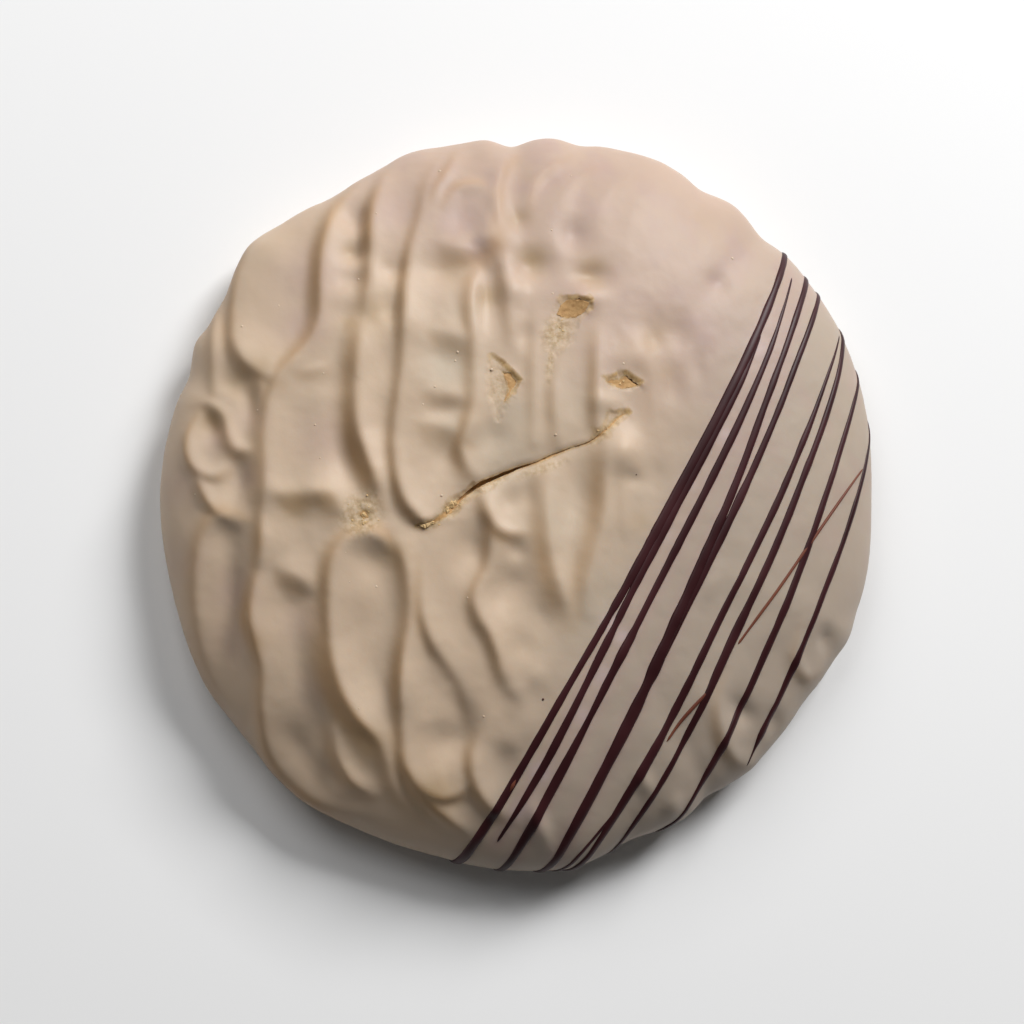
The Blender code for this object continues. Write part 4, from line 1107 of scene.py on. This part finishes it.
def strand_mesh(name, strand, spacing, height_share, lift, seed):
    """A rounded strand lying on the coating: a row of flattened sections."""
    line = strand_points(*strand, spacing)
    across = across_line(line)
    count = len(line)
    ends = np.minimum(np.arange(count), np.arange(count)[::-1]) * spacing
    close = np.sqrt(np.clip(ends / STRAND_TAPER, 0.0, 1.0))
    flow = np.array([noise.noise(Vector((seed * 7.3, i * spacing * 0.30, 0.0))) for i in range(count)])
    drift = np.array([noise.noise(Vector((seed * 3.1, i * spacing * 0.12, 9.0))) for i in range(count)])
    half = STRAND_SLIMMING * 0.5 * line[:, 2] * (1.0 + 0.14 * flow) * np.maximum(close, 0.02)
    middle = line[:, :2] + across * (0.07 * drift)[:, None]
    rings = []
    for step in np.linspace(0.0, 2 * np.pi, SIDES, endpoint=False):
        top = max(np.sin(step), 0.0) ** 0.8
        under = min(np.sin(step), 0.0)
        place = middle + across * (half * np.cos(step))[:, None]
        rise = lift + half * 2 * height_share * top + 0.14 * under * np.maximum(close, 0.1)
        rings.append(over_dome(place[:, 0], place[:, 1], lift=rise))
    faces = [tuple(reversed(range(SIDES))), tuple((count - 1) * SIDES + j for j in range(SIDES))]
    for i in range(0, (count - 1) * SIDES, SIDES):
        for j in range(SIDES):
            k = (j + 1) % SIDES
            faces.append((i + j, i + k, i + SIDES + k, i + SIDES + j))
    piece = new_piece(name, np.stack(rings, axis=1).reshape(-1, 3), faces)
    face_outwards(piece)
    return piece


def make_strands():
    """The chocolate strands, the fine threads across them and the drop on the first."""
    strands = [strand_mesh("strand", strand, spacing=0.35, height_share=0.24, lift=0.0, seed=i)
               for i, strand in enumerate(STRANDS)]
    threads = [strand_mesh("thread", thread, spacing=0.3, height_share=0.45, lift=lift, seed=30 + i)
               for i, (thread, lift) in enumerate(zip(THREADS, THREAD_LIFTS))]
    dark = chocolate_material("dark chocolate", (0.026, 0.005, 0.006), (0.048, 0.012, 0.014))
    thin = chocolate_material("thin chocolate", (0.11, 0.030, 0.018), (0.17, 0.055, 0.030))
    for pieces, name, finish in ((strands, "chocolate_strands", dark), (threads, "chocolate_threads", thin)):
        piece = joined(pieces, name)
        piece.data.materials.append(finish)
        smooth(piece, 60.0)
        finish_piece(piece)


def on_coating(x, y):
    """The place on the coating over the point x, y of the plan."""
    x, y = np.array([[x], [y]], dtype=float)
    place = over_dome(*sheet_under(x, y))[0]
    place[2] -= chips_at(x, y)[1][0] + valley_at(x, y)[0]
    return place


def small_ball(name, place, radius, flatness):
    """A small flattened ball of few faces."""
    choose()
    bpy.ops.mesh.primitive_ico_sphere_add(subdivisions=2, radius=radius, location=(0, 0, 0))
    ball = bpy.context.object
    ball.name = name
    set_points(ball, points_of(ball) * (1.0, 1.0, flatness) + place)
    return ball


def make_bubbles():
    """Tiny bubbles and grains that stand out of the coating, thickest on the left half."""
    draw = random.Random(5)
    spots = []
    while len(spots) < BUBBLES:
        x, y = draw.uniform(-44.0, 30.0), draw.uniform(-42.0, 44.0)
        keep = draw.random() < (0.9 if x < 0.0 else 0.35)
        if keep and math.hypot(x - MIDDLE[0], y - MIDDLE[1]) < 44.0 and x - 19.0 < 0.5 * y:
            spots.append((x, y, draw.uniform(*BUBBLE_SIZES)))
    x, y, radii = np.array(spots).T
    places = over_dome(*sheet_under(x, y))
    balls = [small_ball("bubble", place, radius, flatness=0.32) for place, radius in zip(places, radii)]
    bubbles = joined(balls, "bubbles")
    bubbles.data.materials.append(pale_material())
    smooth(bubbles, 60.0)
    finish_piece(bubbles)


def make_specks():
    """Dark specks of chocolate on the coating."""
    balls = [small_ball("speck", on_coating(x, y), radius, flatness=0.5) for x, y, radius in SPECKS]
    specks = joined(balls, "chocolate_specks")
    finish = chocolate_material("speck chocolate", (0.05, 0.02, 0.015), (0.09, 0.04, 0.03))
    specks.data.materials.append(finish)
    smooth(specks, 60.0)
    finish_piece(specks)


def crumb_of(x, y, size):
    """A flat crumb of uneven shape, lying on the coating at x, y of the plan."""
    crumb = small_ball("crumb", np.zeros(3), size, flatness=0.45)
    points = points_of(crumb)
    uneven = np.array([1.0 + 0.9 * noise.noise(Vector(p) / size * 1.1 + Vector((x, y, 0.0))) for p in points])
    set_points(crumb, points * uneven[:, None] + on_coating(x, y))
    return crumb


def make_crumbs():
    """Loose crumbs and golden flakes beside the breaks."""
    draw = random.Random(11)
    crumbs = []
    for cx, cy, reach_x, reach_y, number in CRUMBS:
        for _ in range(number):
            x, y = draw.gauss(cx, reach_x), draw.gauss(cy, reach_y)
            crumbs.append(crumb_of(x, y, draw.uniform(*CRUMB_SIZES)))
    crumbs = joined(crumbs + [crumb_of(*flake) for flake in FLAKES], "crumbs")
    finish = crumb_material("pale crumb", (0.46, 0.30, 0.13), (0.56, 0.38, 0.18), (0.64, 0.46, 0.24))
    crumbs.data.materials.append(finish)
    finish_piece(crumbs)


# ---------------------------------------------------------------- table, light and camera
CAMERA_TILT = 9.0            # degrees off straight down
CAMERA_SIDE = 225.0          # the camera leans towards this side of the plan
CAMERA_DISTANCE = 230.0
AIM = (0.0, 0.0, 8.0)
FRAME_WIDTH = 135.1          # width of the picture at the aim, in millimetres
SENSOR = 36.0


def make_floor():
    """A plain pale table top."""
    choose()
    bpy.ops.mesh.primitive_plane_add(size=6.0, location=(0.0, 0.0, -0.0001))
    floor = bpy.context.object
    floor.name = "floor"
    material, tree, shader = new_material("pale table")
    set_inputs(tree, shader, {"Base Color": (0.86, 0.86, 0.86, 1.0), "Roughness": 0.9})
    floor.data.materials.append(material)


def add_light(name, azimuth, elevation, distance, size, power):
    """A soft square light looking at the biscuit."""
    a = math.radians(azimuth)
    e = math.radians(elevation)
    place = Vector((math.cos(e) * math.cos(a), math.cos(e) * math.sin(a), math.sin(e))) * distance
    data = bpy.data.lights.new(name, "AREA")
    data.size = size
    data.energy = power
    light = bpy.data.objects.new(name, data)
    light.location = place
    light.rotation_euler = (-place).to_track_quat("-Z", "Y").to_euler()
    bpy.context.scene.collection.objects.link(light)


def make_lights():
    """Soft studio light: mostly from the upper right, with a little from all round."""
    add_light("key", azimuth=54.0, elevation=36.0, distance=0.9, size=0.35, power=9.2)
    add_light("fill", azimuth=118.0, elevation=45.0, distance=0.9, size=0.60, power=3.5)
    world = bpy.data.worlds.new("room")
    bpy.context.scene.world = world
    world.use_nodes = True
    backdrop = world.node_tree.nodes["Background"]
    set_inputs(world.node_tree, backdrop, {"Color": (1.0, 1.0, 1.0, 1.0), "Strength": 0.06})
    bpy.context.scene.view_settings.view_transform = "Standard"


def make_camera():
    """Looks down on the dome, leaning a little to its lower left."""
    tilt = math.radians(CAMERA_TILT)
    side = math.radians(CAMERA_SIDE)
    toward = Vector((math.sin(tilt) * math.cos(side), math.sin(tilt) * math.sin(side), math.cos(tilt)))
    right = (-toward).cross(Vector((0.0, 1.0, 0.0))).normalized()
    upward = right.cross(-toward)
    data = bpy.data.cameras.new("camera")
    data.sensor_width = SENSOR
    data.lens = SENSOR * CAMERA_DISTANCE / FRAME_WIDTH
    data.shift_x = -0.0039
    data.shift_y = -0.0078
    data.clip_start = 0.01
    camera = bpy.data.objects.new("camera", data)
    aim = Vector((AIM[0] - CENTRE[0], AIM[1] - CENTRE[1], AIM[2]))
    turn = Matrix((right, upward, toward)).transposed().to_4x4()
    camera.matrix_world = Matrix.Translation((aim + CAMERA_DISTANCE * toward) * MM) @ turn
    bpy.context.scene.collection.objects.link(camera)
    bpy.context.scene.camera = camera


make_camera()
make_lights()
make_floor()
make_coating()
make_core()
make_strands()
make_bubbles()
make_specks()
make_crumbs()
